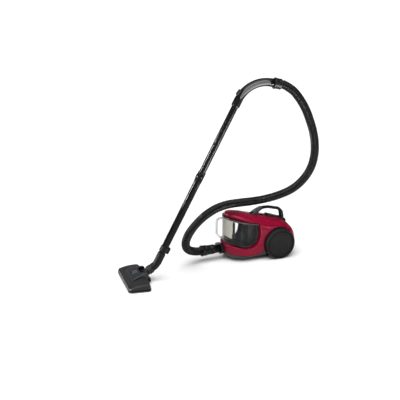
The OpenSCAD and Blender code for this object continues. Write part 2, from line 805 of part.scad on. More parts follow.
module neck_collar() color("#26282a") wand_plane() along([0, pivot_z], neck_angle) difference() {
    translate([0, 0, 24]) cylinder(r = 22, h = neck_joint - 24);
    translate([0, 0, 20]) cylinder(r = 19.02, h = 40);
    for (i = [0:17]) rotate([0, 0, 20 * i]) translate([22.3, 0, 20]) cylinder(r = 1.2, h = 40, $fn = 24);
}

// ---------------------------------------------------------------- floor head

base_top = 13;

module head_plan(inset) {
    corner_r = 16;
    w = head_w / 2 - inset;
    f = head_front - inset;
    rear = 6 - inset;
    r = corner_r - inset;
    translate([-f + r, -w]) square([f + rear - 2 * r, 2 * w]);
    translate([-f, -w + r]) square([f + rear, 2 * w - 2 * r]);
    for (s = [-1, 1]) {
        translate([-f + r, s * (w - r)]) circle(r = r);
        translate([rear - r, s * (w - r)]) circle(r = r);
    }
}

// The slot in the middle of the head's rear, for the neck and the rear wheels
module neck_slot(half_w, from_u) translate([from_u, -half_w, -5]) cube([60, 2 * half_w, 100]);

module head_base() color("#0f1010") wand_plane() difference() {
    union() {
        translate([0, 0, 5]) linear_extrude(base_top - 5) head_plan(0);
        for (s = [-1, 1]) side_slab_at(s * 30, [[-26, 8], [12, 8], [14, 22], [11, 45], [-11, 45], [-26, 30]], 2.6);
    }
    translate([-78, -118, 0]) cube([36, 236, 30]);
    translate([0, 0, 4]) linear_extrude(3.2) intersection() {
        head_plan(6);
        translate([-200, -200]) square([170, 400]);
    }
    difference() {
        neck_slot(52, -27);
        for (s = [-1, 1]) translate([-30, s * 30 - 2.6, 0]) cube([60, 5.2, 60]);
    }
    y_cylinder(3.01, -60, 60, 0, pivot_z);
    y_cylinder(2.5 + play, -60, 60, 0, head_wheel_r);
    for (u = brush_u) translate([u - 2.6, -104.6, 0]) cube([5.2, 209.2, 30]);
}

module side_slab_at(y, points, half_w) translate([0, y, 0]) side_slab(points, half_w);

function cover_line(d) = [
    [-head_front + 2, base_top - 1], [-head_front + 3 + d, 19], [-head_front + 12 + d, 28 - d],
    [-60, 37.5 - d], [-20, 41 - d], [0, 39 - d], [6 - d, 30 - d], [6 - d, base_top - 1]
];

module cover_solid(inset, d) intersection() {
    translate([0, 0, base_top - d]) linear_extrude(60) head_plan(inset);
    side_slab(cover_line(d), 150);
}

module head_cover() color("#3b3d3f") wand_plane() difference() {
    intersection() {
        cover_solid(1, 0);
        translate([-200, -200, base_top]) cube([400, 400, 100]);
    }
    difference() {
        cover_solid(1 + 2.6, 2.6);
        translate([-200, -200, 60]) cube([400, 400, 100]);
    }
    neck_slot(52.4, -27.4);
    pedal_hole(0.6);
    translate([-140, -200, 0]) cube([40.5, 400, 22.4]);
}

module bumper_strip() color("#6f7275") wand_plane() intersection() {
    difference() {
        translate([0, 0, base_top]) linear_extrude(9) head_plan(0);
        translate([0, 0, base_top - 1]) linear_extrude(11) head_plan(3.4);
    }
    translate([-140, -200, 0]) cube([40.3, 400, 60]);
}

module head_housing() color("#44474d") wand_plane() difference() {
    union() {
        difference() {
            side_slab([
                [-80, 30], [-66, 42], [-40, 52], [-10, 57.5], [6, 56], [10, 47], [10, 30]
            ], 52);
            side_slab([[-74, 20], [-64, 38], [-40, 48.5], [-10, 54], [20, 53], [20, 20]], 49);
            translate([-24, -33, 0]) cube([60, 66, 100]);
            translate([-24, -60, 0]) cube([60, 120, 46]);
            pedal_hole(0.6);
        }
        for (s = [-1, 1]) side_slab_at(s * 18.4, [[-51, 35], [-51, 47], [-41, 49], [-41, 35]], 1.7);
    }
    side_slab(concat(cover_line(0), [[6, 0], [-100, 0]]), 60);
    y_cylinder(1.96, -30, 30, pedal_u, pedal_z);
}

// The rocking pedal lifts and lowers the brush strips
pedal_u = -46;
pedal_z = 46;
// Middles of the two brush strips
brush_u = [-86, -35];
module pedal_hole(air) translate([-62 - air, -16 - air, 0]) cube([32 + 2 * air, 32 + 2 * air, 80]);

module brush_pedal() color("#2c2e31") wand_plane() difference() {
    union() {
        side_slab([[-60, 44.5], [-60, 47.5], [-46, 53.5], [-32, 55.5], [-32, 52], [-44, 44.5]], 15);
        y_cylinder(4, -15, 15, pedal_u, pedal_z);
    }
    y_cylinder(2, -20, 20, pedal_u, pedal_z);
}

module brush_strips() color("#0b0b0b") wand_plane() for (u = brush_u)
    translate([u - 2, -104, 0.3]) cube([4, 208, 9]);

module glide_pads() color("#4a4b4d") wand_plane() for (s = [-1, 1])
    translate([-66, s * 126 - 7, 0]) cube([20, 14, 1.6]);

module sole_plate() color("#54575a") wand_plane() difference() {
    translate([0, 0, 1.6]) linear_extrude(5.55) intersection() {
        head_plan(6.3);
        translate([-200, -200]) square([169.5, 400]);
    }
    translate([-78, -118, 0]) cube([36, 236, 30]);
    for (u = brush_u) translate([u - 2.6, -104.6, 0]) cube([5.2, 209.2, 30]);
}

// Each wheel turns on a stub in the base's ear
module head_wheels() color("#151617") wand_plane() both_sides() {
    y_cylinder(head_wheel_r, 35, 50, 0, head_wheel_r);
    y_cylinder(2.5, 26.4, 36, 0, head_wheel_r);
}

module hinge_pin() color("#a9adb2") wand_plane() {
    y_cylinder(3, -32.6, 32.6, 0, pivot_z);
    y_cylinder(1.95, -20, 20, pedal_u, pedal_z);
}

chassis();
lower_shell();
top_shell();
wheel_arches();
carry_handle();
handle_base();
release_button();
power_pedal();
rewind_pedal();
exhaust_grille();
exhaust_filter();
motor_housing();
motor();
impeller();
premotor_filter();
cord_reel();
reel_spindle();
circuit_board();
cord_outlet();
inlet_socket();
inlet_duct();
hose_connector();
connector_button();
swivel_collar();
hose();
grip_collar();
left_wheel();
right_wheel();
left_tyre();
right_tyre();
left_cap();
right_cap();
axles();
caster_fork();
caster_wheel();
caster_pin();
bin_container();
bin_grip();
bin_lid();
cyclone_cone();
inner_panel();
grip_tube();
grip_inlays();
suction_slider();
upper_tube();
lower_tube();
park_clip();
elbow();
neck();
neck_collar();
head_base();
head_cover();
head_housing();
bumper_strip();
sole_plate();
glide_pads();
brush_strips();
brush_pedal();
head_wheels();
hinge_pin();
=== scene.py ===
"""Looks of the canister vacuum cleaner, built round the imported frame.

Lengths are millimetres until build() places them.
"""

import json
from math import acos, cos, pi, radians, sin, tan

import bmesh
import bpy
import numpy as np
from mathutils import Matrix, Vector


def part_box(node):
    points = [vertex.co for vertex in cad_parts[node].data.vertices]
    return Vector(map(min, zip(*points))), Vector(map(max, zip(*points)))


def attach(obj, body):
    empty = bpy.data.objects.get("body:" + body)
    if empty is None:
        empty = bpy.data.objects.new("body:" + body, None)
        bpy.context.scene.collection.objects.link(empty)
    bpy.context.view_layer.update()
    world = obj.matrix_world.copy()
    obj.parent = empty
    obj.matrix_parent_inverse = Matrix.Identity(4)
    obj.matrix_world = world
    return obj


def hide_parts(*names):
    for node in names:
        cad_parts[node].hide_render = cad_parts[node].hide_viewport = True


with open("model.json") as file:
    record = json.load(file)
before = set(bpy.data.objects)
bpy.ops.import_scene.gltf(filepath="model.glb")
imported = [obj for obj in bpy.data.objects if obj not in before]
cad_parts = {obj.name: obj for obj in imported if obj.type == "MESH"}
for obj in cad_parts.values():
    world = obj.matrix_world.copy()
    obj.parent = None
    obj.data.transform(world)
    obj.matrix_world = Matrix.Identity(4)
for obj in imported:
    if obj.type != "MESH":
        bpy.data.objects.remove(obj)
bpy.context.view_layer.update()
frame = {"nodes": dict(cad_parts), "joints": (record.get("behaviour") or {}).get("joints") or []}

MM = 0.001
UP = Vector((0, 0, 1))
JOINTS = {j["name"]: j for j in frame["joints"]}

# --- places

# Canister: x runs from nose to tail, y across, and the rear axle is 112 behind its origin
AXLE_X, WHEEL_R = 112.0, 78.0
INLET_Z = 54.0
tyre_l, tyre_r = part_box("left_tyre"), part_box("right_tyre")
ORIGIN = Vector(((tyre_l[0].x + tyre_l[1].x) / 2 - AXLE_X * MM, (tyre_l[0].y + tyre_r[1].y) / 2, 0))
CANISTER = Matrix.Translation(ORIGIN) @ Matrix.Scale(MM, 4)

# Wand: u runs from the neck's pivot towards the handle, v across, w up
PIVOT, ACROSS = Vector(JOINTS["head_tilt"]["pos_m"]), Vector(JOINTS["head_tilt"]["axis"])
ALONG_U = ACROSS.cross(UP)
WAND = Matrix.Translation((PIVOT.x, PIVOT.y, 0)) @ Matrix((ALONG_U, ACROSS, UP)).transposed().to_4x4()
WAND = WAND @ Matrix.Scale(MM, 4)
PIVOT_Z = PIVOT.z / MM
NECK_ANGLE, NECK_LEN = 36.0, 75.0
WAND_ANGLE, WAND_LEN = 63.0, 882.0
GRIP_R, BEND_R, SWEEP = 20.0, 142.0, 77.0
END_ANGLE = WAND_ANGLE - SWEEP
SLIDER_TURN = 12
HOSE_R = 21.0

# Frame and body of the pieces in each assembly; wand and handle ride on the canister's body
ON_CANISTER, IN_BIN = (CANISTER, "canister"), (CANISTER, "dust_bin")
ON_WAND, ON_HEAD = (WAND, "canister"), (WAND, "floor_head")


def heading(angle):
    """Unit vector in the wand's plane, as (u, w)."""
    return np.array([cos(radians(angle)), sin(radians(angle))])


CORNER = np.array([0, PIVOT_Z]) + NECK_LEN * heading(NECK_ANGLE)
GRIP_START = CORNER + WAND_LEN * heading(WAND_ANGLE)
GRIP_CENTRE = GRIP_START + BEND_R * heading(WAND_ANGLE - 90)
GRIP_END = GRIP_CENTRE + BEND_R * heading(END_ANGLE + 90)


def on_wand(point, angle):
    """Frame whose z leaves a point of the wand's plane at that angle above the floor."""
    return WAND @ Matrix.Translation((point[0], 0, point[1])) @ Matrix.Rotation(radians(90 - angle), 4, "Y")


def facing(x, y, z, axis):
    """Frame in the canister whose z points along an axis."""
    turn = Vector(axis).normalized().to_track_quat("Z", "Y").to_matrix().to_4x4()
    return CANISTER @ Matrix.Translation((x, y, z)) @ turn


# --- meshes

def in_scene(name, data):
    """New object, linked to the scene."""
    obj = bpy.data.objects.new(name, data)
    bpy.context.scene.collection.objects.link(obj)
    return obj


def build(name, points, faces, place, body, material, node=None, slot=None, normals=None, smooth=True):
    """Object from points in a frame, riding on a body and standing for a CAD node."""
    points = np.asarray(points, float).reshape(-1, 3)
    m = np.array(place, float)
    world = points @ m[:3, :3].T + m[:3, 3]
    mesh = bpy.data.meshes.new(name)
    mesh.from_pydata(world.tolist(), [], [list(f) for f in faces])
    mesh.update()
    obj = in_scene(name, mesh)
    mesh.polygons.foreach_set("use_smooth", [smooth] * len(mesh.polygons))
    if normals is not None:
        normals = normals @ m[:3, :3].T
        normals /= np.linalg.norm(normals, axis=1)[:, None]
        mesh.normals_split_custom_set_from_vertices(normals.tolist())
    mesh.materials.append(material)
    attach(obj, body)
    if node:
        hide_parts(node)
    return obj


def sharpen(obj, angle=40):
    """Marks edges sharper than an angle, so that the rest shades smoothly."""
    bm = bmesh.new()
    bm.from_mesh(obj.data)
    bmesh.ops.recalc_face_normals(bm, faces=bm.faces)
    for e in bm.edges:
        e.smooth = len(e.link_faces) == 2 and e.calc_face_angle(0) < radians(angle)
    bm.to_mesh(obj.data)
    bm.free()
    return obj


def fillet(corners, steps=3):
    """Closed or open outline with round corners: each corner is (a, b) or (a, b, radius)."""
    out = []
    n = len(corners)
    for i, c in enumerate(corners):
        p = np.array(c[:2], float)
        r = c[2] if len(c) > 2 else 0
        if not r:
            out.append(p)
            continue
        a, b = np.array(corners[i - 1][:2], float) - p, np.array(corners[(i + 1) % n][:2], float) - p
        la, lb = np.linalg.norm(a), np.linalg.norm(b)
        a, b = a / la, b / lb
        half = acos(np.clip(a @ b, -1, 1)) / 2
        reach = min(r / tan(half), 0.49 * la, 0.49 * lb)
        r = reach * tan(half)
        centre = p + (a + b) / np.linalg.norm(a + b) * r / sin(half)
        start, stop = p + a * reach - centre, p + b * reach - centre
        whole = acos(np.clip(start @ stop / (r * r), -1, 1))
        for k in range(steps + 1):
            t = k / steps
            q = (sin((1 - t) * whole) * start + sin(t * whole) * stop) / sin(whole)
            out.append(centre + q)
    return np.array(out)


def lathe(name, outline, place, body, material, segments=64, flute=None, **rest):
    """Turned piece: outline is closed, in (radius, height). flute(angle, height) scales the radius."""
    outline = np.asarray(outline, float)
    n, m = len(outline), segments
    angle = np.arange(m) * 2 * pi / m
    r = np.repeat(outline[:, :1], m, 1)
    if flute:
        r = r * flute(angle[None, :], outline[:, 1:2], outline[:, :1])
    points = np.stack([r * np.cos(angle), r * np.sin(angle), np.repeat(outline[:, 1:], m, 1)], 2)
    faces = []
    for i in range(n):
        j = (i + 1) % n
        flat_i, flat_j = outline[i, 0] < 1e-6, outline[j, 0] < 1e-6
        if flat_i and flat_j:
            continue
        for k in range(m):
            q = (k + 1) % m
            if flat_i:
                faces.append((i * m, j * m + k, j * m + q))
            elif flat_j:
                faces.append((i * m + k, j * m, i * m + q))
            else:
                faces.append((i * m + k, j * m + k, j * m + q, i * m + q))
    obj = build(name, points, faces, place, body, material, **rest)
    drop_loose(obj)
    return sharpen(obj, 50)


def drop_loose(obj):
    """Removes points that no face uses, and merges points that coincide."""
    bm = bmesh.new()
    bm.from_mesh(obj.data)
    bmesh.ops.delete(bm, geom=[v for v in bm.verts if not v.link_faces], context="VERTS")
    bmesh.ops.remove_doubles(bm, verts=bm.verts, dist=1e-7)
    bmesh.ops.recalc_face_normals(bm, faces=bm.faces)
    bm.to_mesh(obj.data)
    bm.free()


def path_frames(path, side):
    """Side and top directions along a path, turning as little as they can."""
    path = np.asarray(path, float)
    t = np.gradient(path, axis=0)
    t /= np.linalg.norm(t, axis=1)[:, None]
    sides, tops = [], []
    s = np.array(side, float)
    for d in t:
        s = s - (s @ d) * d
        s = s / np.linalg.norm(s)
        sides.append(s)
        tops.append(np.cross(d, s))
    return np.array(sides), np.array(tops)


def between_rings(n, m, gaps):
    """Quads between n rings of m points each; the last ring meets the first when there are n gaps."""
    quads = []
    for i in range(gaps):
        a, b = i * m, (i + 1) % n * m
        quads += [(a + k, a + (k + 1) % m, b + (k + 1) % m, b + k) for k in range(m)]
    return quads


def sweep(name, path, section, place, body, material, side=(0, 1, 0), sharp=50, **rest):
    """Solid along a path. section(i) gives the ring's (side, top) points, and both ends are closed."""
    path = np.asarray(path, float)
    sides, tops = path_frames(path, side)
    rings = []
    for i, at in enumerate(path):
        s = section(i)
        rings.append(at + s[:, :1] * sides[i] + s[:, 1:] * tops[i])
    n, m = len(rings), len(rings[0])
    faces = between_rings(n, m, n - 1)
    faces += [tuple(range(m))[::-1], tuple((n - 1) * m + k for k in range(m))]
    return sharpen(build(name, np.concatenate(rings), faces, place, body, material, **rest), sharp)


def oval(half_a, half_b, power=2.0, count=24):
    """Ring of points on a superellipse; a high power makes a rounded box."""
    a = np.arange(count) * 2 * pi / count
    bent = lambda t: np.sign(t) * abs(t) ** (2 / power)
    return np.stack([half_a * bent(np.cos(a)), half_b * bent(np.sin(a))], 1)


def build_bevelled(bm, edges, bevel, steps, name, *where, **rest):
    """Piece from a bmesh, with the given edges rounded."""
    bmesh.ops.bevel(bm, geom=edges, offset=bevel, segments=steps, profile=0.5, affect="EDGES")
    bm.verts.index_update()
    points = [tuple(v.co) for v in bm.verts]
    faces = [[v.index for v in f.verts] for f in bm.faces]
    bm.free()
    return sharpen(build(name, points, faces, *where, **rest), 35)


def block(name, size, place, body, material, bevel=1.5, steps=3, **rest):
    """Box with rounded edges, centred on its frame."""
    bm = bmesh.new()
    bmesh.ops.create_cube(bm, size=1)
    bmesh.ops.scale(bm, vec=size, verts=bm.verts)
    return build_bevelled(bm, list(bm.edges), bevel, steps, name, place, body, material, **rest)


def slab(name, outline, half, place, body, material, bevel=1.0, steps=2, **rest):
    """Side view in (x, z), as thick as two halves, with its rims rounded."""
    bm = bmesh.new()
    front = bm.faces.new([bm.verts.new((x, -half, z)) for x, z in outline])
    made = bmesh.ops.extrude_face_region(bm, geom=[front])
    moved = [g for g in made["geom"] if isinstance(g, bmesh.types.BMVert)]
    bmesh.ops.translate(bm, vec=(0, 2 * half, 0), verts=moved)
    bmesh.ops.recalc_face_normals(bm, faces=bm.faces)
    rims = [e for e in bm.edges if abs(e.verts[0].co.y - e.verts[1].co.y) < 1e-6]
    return build_bevelled(bm, rims, bevel, steps, name, place, body, material, **rest)


# --- solids from a field, negative inside

# On fields, most() is both solids at once and least() is either of them, with sharp edges
most, least = np.maximum, np.minimum


def meet(a, b, r):
    """Both solids at once, their common edge rounded by r."""
    return least(most(a, b), -r) + np.hypot(most(a + r, 0), most(b + r, 0))


def cut(a, b, r):
    """The first solid without the second."""
    return meet(a, -b, r)


def join(a, b, r):
    """Either solid, with a fillet of r between them."""
    return -meet(-a, -b, r)


def curve(*knots):
    """Smooth function through (x, y) knots: a natural cubic spline, sampled finely."""
    x, y = np.array(knots, float).T
    n = len(x)
    h = np.diff(x)
    a, b = np.eye(n), np.zeros(n)
    for i in range(1, n - 1):
        a[i, i - 1 : i + 2] = h[i - 1], 2 * (h[i - 1] + h[i]), h[i]
        b[i] = 6 * ((y[i + 1] - y[i]) / h[i] - (y[i] - y[i - 1]) / h[i - 1])
    m = np.linalg.solve(a, b)
    fine = np.linspace(x[0], x[-1], 3000)
    i = np.clip(np.searchsorted(x, fine) - 1, 0, n - 2)
    p, q = (x[i + 1] - fine) / h[i], (fine - x[i]) / h[i]
    table = p * y[i] + q * y[i + 1] + ((p**3 - p) * m[i] + (q**3 - q) * m[i + 1]) * h[i] ** 2 / 6
    return lambda at: np.interp(at, fine, table)


def step(x, a, b):
    """Smoothly 0 before a and 1 after b."""
    t = np.clip((x - a) / (b - a), 0, 1)
    return t * t * (3 - 2 * t)


def box_field(x, y, z, half, r):
    """Box of half sizes round the middle, with its edges rounded by r."""
    q = [abs(v) - h + r for v, h in zip((x, y, z), half)]
    outside = np.sqrt(sum(most(v, 0) ** 2 for v in q))
    return outside + least(most(most(q[0], q[1]), q[2]), 0) - r


def turned(a, b, angle):
    """Coordinates in axes that lean by an angle in degrees."""
    c, s = cos(radians(angle)), sin(radians(angle))
    return a * c - b * s, a * s + b * c


def rounded(qx, qy, r):
    """Rectangle with corners rounded by r, from how far a point is past its corner's centre."""
    return np.hypot(most(qx, 0), most(qy, 0)) + least(most(qx, qy), 0) - r


def net(field, low, high, cell):
    """Points on the field's zero surface, one for each cell that it crosses, with normals and quads."""
    axes = [np.arange(a, b + cell, cell) for a, b in zip(low, high)]
    f = field(*np.meshgrid(*axes, indexing="ij")).astype(np.float32)
    inside = f < 0
    shape = tuple(s - 1 for s in f.shape)
    corner = [(i, j, k) for i in (0, 1) for j in (0, 1) for k in (0, 1)]
    part = lambda g, c: g[c[0] : c[0] + shape[0], c[1] : c[1] + shape[1], c[2] : c[2] + shape[2]]
    count = sum(part(inside, c).astype(np.int8) for c in corner)
    at = np.argwhere((count > 0) & (count < 8))
    number = np.full(shape, -1, np.int64)
    number[tuple(at.T)] = np.arange(len(at))
    total, hits = np.zeros((len(at), 3)), np.zeros(len(at))
    for c in corner:
        for axis in range(3):
            if c[axis]:
                continue
            d = list(c)
            d[axis] = 1
            fa, fb = part(f, c)[tuple(at.T)], part(f, d)[tuple(at.T)]
            crossed = (fa < 0) != (fb < 0)
            t = np.where(crossed, fa / np.where(crossed, fa - fb, 1), 0)
            spot = at + np.array(c, float)
            spot[:, axis] += t
            total += spot * crossed[:, None]
            hits += crossed
    points = np.array(low) + total / hits[:, None] * cell
    return *settle(field, points, cell), net_quads(inside, number)


def net_quads(inside, number):
    """One quad between the four cells round each grid edge that the surface crosses, facing outwards."""
    faces, shape = [], number.shape
    for axis in range(3):
        u, v = (axis + 1) % 3, (axis + 2) % 3
        first = [slice(None)] * 3
        second = [slice(None)] * 3
        first[axis], second[axis] = slice(None, -1), slice(1, None)
        change = inside[tuple(first)] != inside[tuple(second)]
        edges = np.argwhere(change)
        at_u, at_v = edges[:, u], edges[:, v]
        edges = edges[(at_u > 0) & (at_v > 0) & (at_u < shape[u]) & (at_v < shape[v])]
        outward = inside[tuple(first)][tuple(edges.T)]
        ring = []
        for du, dv in ((1, 1), (0, 1), (0, 0), (1, 0)):
            e = edges.copy()
            e[:, u] -= du
            e[:, v] -= dv
            ring.append(number[tuple(e.T)])
        quads = np.stack(ring, 1)
        quads[~outward] = quads[~outward][:, ::-1]
        faces.append(quads)
    return np.concatenate(faces)


def settle(field, points, cell):
    """Moves points onto the surface in a few steps, and gives the normal at each."""
    slope = lambda p: np.stack([
        (field(*(p + d).T) - field(*(p - d).T)) / 0.4 for d in 0.2 * np.eye(3)
    ], 1)
    for _ in range(3):
        g = slope(points)
        move = field(*points.T)[:, None] * g / most((g * g).sum(1), 0.05)[:, None]
        points = points - np.clip(move, -cell / 3, cell / 3)
    g = slope(points)
    return points, g / most(np.linalg.norm(g, axis=1), 1e-6)[:, None]


def solid(name, field, low, high, cell, place, body, material, **rest):
    """Piece whose surface is a field's zero."""
    points, normals, faces = net(field, low, high, cell)
    return build(name, points, faces, place, body, material, normals=normals, **rest)


# --- materials

class Nodes:
    """Small helper that lays out one material's node tree."""

    def __init__(self, name):
        self.material = bpy.data.materials.new(name)
        self.material.use_nodes = True
        self.tree = self.material.node_tree
        self.shader = self.tree.nodes["Principled BSDF"]
        self.where = self.add("ShaderNodeTexCoord").outputs["Object"]

    def add(self, kind, **values):
        node = self.tree.nodes.new(kind)
        for key, value in values.items():
            setattr(node, key, value)
        return node

    def link(self, a, b):
        self.tree.links.new(a, b)

    def noise(self, scale, detail=3.0, stretch=None):
        n = self.add("ShaderNodeTexNoise")
        n.inputs["Scale"].default_value = scale
        n.inputs["Detail"].default_value = detail
        where = self.where
        if stretch:
            mapping = self.add("ShaderNodeMapping")
            mapping.inputs["Scale"].default_value = stretch
            self.link(where, mapping.inputs["Vector"])
            where = mapping.outputs["Vector"]
        self.link(where, n.inputs["Vector"])
        return n.outputs["Fac"]

    def ranged(self, value, low, high, start=0.3, stop=0.7):
        r = self.add("ShaderNodeMapRange")
        for key, number in (("From Min", start), ("From Max", stop), ("To Min", low), ("To Max", high)):
            r.inputs[key].default_value = number
        self.link(value, r.inputs["Value"])
        return r.outputs["Result"]

    def blend(self, value, first, second):
        m = self.add("ShaderNodeMix", data_type="RGBA")
        self.link(value, m.inputs["Factor"])
        m.inputs[6].default_value = (*first, 1)
        m.inputs[7].default_value = (*second, 1)
        return m.outputs[2]

    def bump(self, value, height, strength=1.0):
        b = self.add("ShaderNodeBump")
        b.inputs["Strength"].default_value = strength
        b.inputs["Distance"].default_value = height
        self.link(value, b.inputs["Height"])
        self.link(b.outputs["Normal"], self.shader.inputs["Normal"])

    def constant(self, **values):
        for key, number in values.items():
            self.shader.inputs[key.replace("_", " ")].default_value = number


def moulded(name, colour, rough, uneven=0.1, grain=0.00006, grain_scale=1400, spread=0.05, shine=0.5,
    **constant):
    """Moulded plastic or rubber: slight clouding, uneven gloss and a fine grain."""
    n = Nodes(name)
    dark = tuple(c * (1 - uneven) for c in colour)
    light = tuple(min(1, c * (1 + uneven) + 0.002) for c in colour)
    n.link(n.blend(n.ranged(n.noise(22), 0, 1), dark, light), n.shader.inputs["Base Color"])
    gloss = n.ranged(n.noise(160, 4), rough - spread, rough + spread)
    n.link(gloss, n.shader.inputs["Roughness"])
    n.bump(n.noise(grain_scale, 2), grain)
    n.constant(Specular_IOR_Level=shine, **constant)
    return n.material


def metal(name, colour, rough, stretch=(1, 1, 30)):
    """Brushed or turned metal: long fine scratches along one direction."""
    n = Nodes(name)
    scratches = n.noise(90, 4, stretch)
    dark = tuple(c * 0.82 for c in colour)
    n.link(n.blend(n.ranged(scratches, 0, 1), dark, colour), n.shader.inputs["Base Color"])
    n.link(n.ranged(scratches, rough * 0.7, rough * 1.4), n.shader.inputs["Roughness"])
    n.bump(scratches, 0.00003)
    n.constant(Metallic=1.0)
    return n.material


def clear(name, colour, face, edge):
    """Clear plastic that is denser where it's seen edge on."""
    n = Nodes(name)
    tint = tuple(c * 0.9 for c in colour)
    n.link(n.blend(n.ranged(n.noise(18), 0, 1), tint, colour), n.shader.inputs["Base Color"])
    n.link(n.ranged(n.noise(60), 0.04, 0.10), n.shader.inputs["Roughness"])
    weight = n.add("ShaderNodeLayerWeight")
    weight.inputs["Blend"].default_value = 0.35
    n.link(n.ranged(weight.outputs["Facing"], face, edge, 0.15, 0.95), n.shader.inputs["Alpha"])
    n.bump(n.noise(30, 2), 0.00005)
    n.constant(IOR=1.49)
    return n.material


RED = moulded("red_gloss", (0.22, 0.001, 0.022), 0.26, 0.06, 0.00002, 900, 0.04, shine=0.1,
              Coat_Weight=0.12, Coat_Roughness=0.08)
LID_RED = moulded("lid_maroon", (0.035, 0.003, 0.006), 0.3, 0.1)
HULL = moulded("hull_grey", (0.035, 0.035, 0.034), 0.45, 0.12, 0.0001, shine=0.25)
BLACK_GLOSS = moulded("black_gloss", (0.003, 0.003, 0.0034), 0.14, 0.2, 0.00002, shine=0.16)
BLACK_SATIN = moulded("black_satin", (0.006, 0.006, 0.0063), 0.38, 0.2, 0.00008, shine=0.15)
DARK_GREY = moulded("dark_grey", (0.02, 0.02, 0.021), 0.42, 0.12, 0.0001, shine=0.2)
MID_GREY = moulded("mid_grey", (0.09, 0.09, 0.094), 0.45, 0.1, 0.0001)
STRIP_GREY = moulded("strip_grey", (0.05, 0.05, 0.052), 0.4, 0.1, 0.0001)
PALE_GREY = moulded("pale_grey", (0.36, 0.36, 0.37), 0.42, 0.08, 0.0001)
BLUE_GREY = moulded("blue_grey", (0.018, 0.02, 0.024), 0.34, 0.1, 0.00008, shine=0.35)
BLUE_BLACK = moulded("blue_black", (0.005, 0.0065, 0.009), 0.32, 0.15, 0.00005, shine=0.25)
PEDAL_RED = moulded("pedal_red", (0.075, 0.006, 0.012), 0.32, 0.12)
RUBBER = moulded("tyre_rubber", (0.007, 0.007, 0.0072), 0.55, 0.15, 0.00015, 700, shine=0.15)
CAP_GREY = moulded("cap_grey", (0.008, 0.0076, 0.0074), 0.52, 0.1, 0.00012, 1000, shine=0.15)
HOSE = moulded("hose_plastic", (0.0035, 0.0035, 0.0037), 0.26, 0.2, 0.00005, shine=0.15)
TUBE = moulded("tube_gloss", (0.003, 0.003, 0.0032), 0.12, 0.15, 0.00002, shine=0.14)
CLEAR = clear("clear_bin", (0.16, 0.17, 0.16), 0.05, 0.55)
CLEAR_THICK = clear("clear_grip", (0.34, 0.35, 0.33), 0.35, 0.95)
CREAM = moulded("cream_panel", (0.72, 0.69, 0.6), 0.5, 0.05, 0.0001)
CONE = moulded("cone_plastic", (0.014, 0.018, 0.024), 0.35, 0.15, 0.0001, shine=0.3)
FOAM = moulded("filter_foam", (0.5, 0.49, 0.45), 0.85, 0.15, 0.0006, 500)
STEEL = metal("motor_steel", (0.5, 0.51, 0.52), 0.32)
ALLOY = metal("fan_alloy", (0.6, 0.61, 0.62), 0.28)
PIN = metal("steel_pin", (0.55, 0.56, 0.57), 0.22)
BOARD = moulded("board_green", (0.02, 0.16, 0.06), 0.4, 0.3, 0.00005, 500)
BRISTLE = moulded("brush_bristle", (0.008, 0.008, 0.008), 0.6, 0.3, 0.0003, 1500)
SOLE = metal("sole_metal", (0.3, 0.3, 0.31), 0.35, (30, 1, 1))

# What is left of the CAD is seen only at grilles, underneath, or through gaps
PLAIN_NODES = {
    "motor_housing": DARK_GREY, "motor": STEEL, "impeller": ALLOY, "premotor_filter": FOAM,
    "exhaust_filter": FOAM, "cord_reel": DARK_GREY, "reel_spindle": PIN, "circuit_board": BOARD,
    "inlet_duct": DARK_GREY, "axles": PIN, "caster_pin": PIN, "hinge_pin": PIN,
    "caster_fork": DARK_GREY, "sole_plate": SOLE, "glide_pads": MID_GREY,
}


def finish_cad():
    """Gives each CAD node that stays in view its finish."""
    for node, material in PLAIN_NODES.items():
        mesh = frame["nodes"][node].data
        mesh.materials.clear()
        mesh.materials.append(material)


# --- canister shells

RAIL = radians(13)
RAIL_SLOPE = tan(RAIL)
POCKET_X, ARM_FOOT = 15.0, 187.0
LIP_R, WELL_Y = 79.8, 90.7
GAP = 0.5
SHELL_WALL, HULL_WALL, TONGUE_WALL = 4.5, 4.0, 60.0
NOSE_X, BODY_HALF = -50, 104
CASTER_X = -60

crown = curve(
    (-190, 241), (-119, 240), (-94, 237.5), (-64, 232.5), (-28, 223.5), (2, 214.5), (60, 201.5), (110,
        188), (150, 175.5),
    (170, 165), (189, 151), (205, 132), (214, 113), (222, 88),
)
# Where the red shell meets the grey hull, and where the two red shells meet
seam = curve(
    (-170, 78), (-154, 56), (-150, 50), (-141, 40), (-117, 35.5), (-72, 31.5), (-34, 29), (2, 32), (28,
        44), (38, 55),
    (50, 70), (62, 90), (110, 108), (160, 84), (185, 58), (222, 48),
)
parting = curve((-230, 205), (-8, 184), (40, 176), (80, 170), (113, 163), (150, 151), (180, 134), (222, 105))


def waist(z):
    """How far the sides lean in, above and below the widest level."""
    return 10 * ((z - 95) / 100) ** 2


def plan_of_body(x, y):
    nose = np.hypot(x - NOSE_X, y) - BODY_HALF
    tail = rounded(x - 162, abs(y) - 44, 60)
    return np.where(x < NOSE_X, nose, tail)


def plan_of_tongue(x, y):
    """Half an ellipse in front of the pocket's wall, and the body's own outline behind it."""
    u = most(POCKET_X - x, 0)
    b = BODY_HALF - 6 * step(u, 0, 70)
    k = np.hypot(u / 173, y / b)
    g = np.hypot(u / 173**2, y / b**2)
    return np.where(x < POCKET_X, k * (k - 1) / most(g, 1e-4), plan_of_body(x, y))


def under_crown(x, y, z):
    slope = (crown(x + 1) - crown(x - 1)) / 2
    return (z - crown(x) + (18 - 8 * step(x, 60, 160)) * (y / 85) ** 2) / np.hypot(1, slope)


def outer(x, y, z):
    """Outside of the whole body."""
    shoulder = 7 + 11 * step(x, -130, -40) + 18 * step(x, -40, 120) - 14 * step(x, 150, 205)
    plan = np.where(z > parting(x), plan_of_tongue(x, y), plan_of_body(x, y))
    return meet(plan + waist(z), under_crown(x, y, z), shoulder)


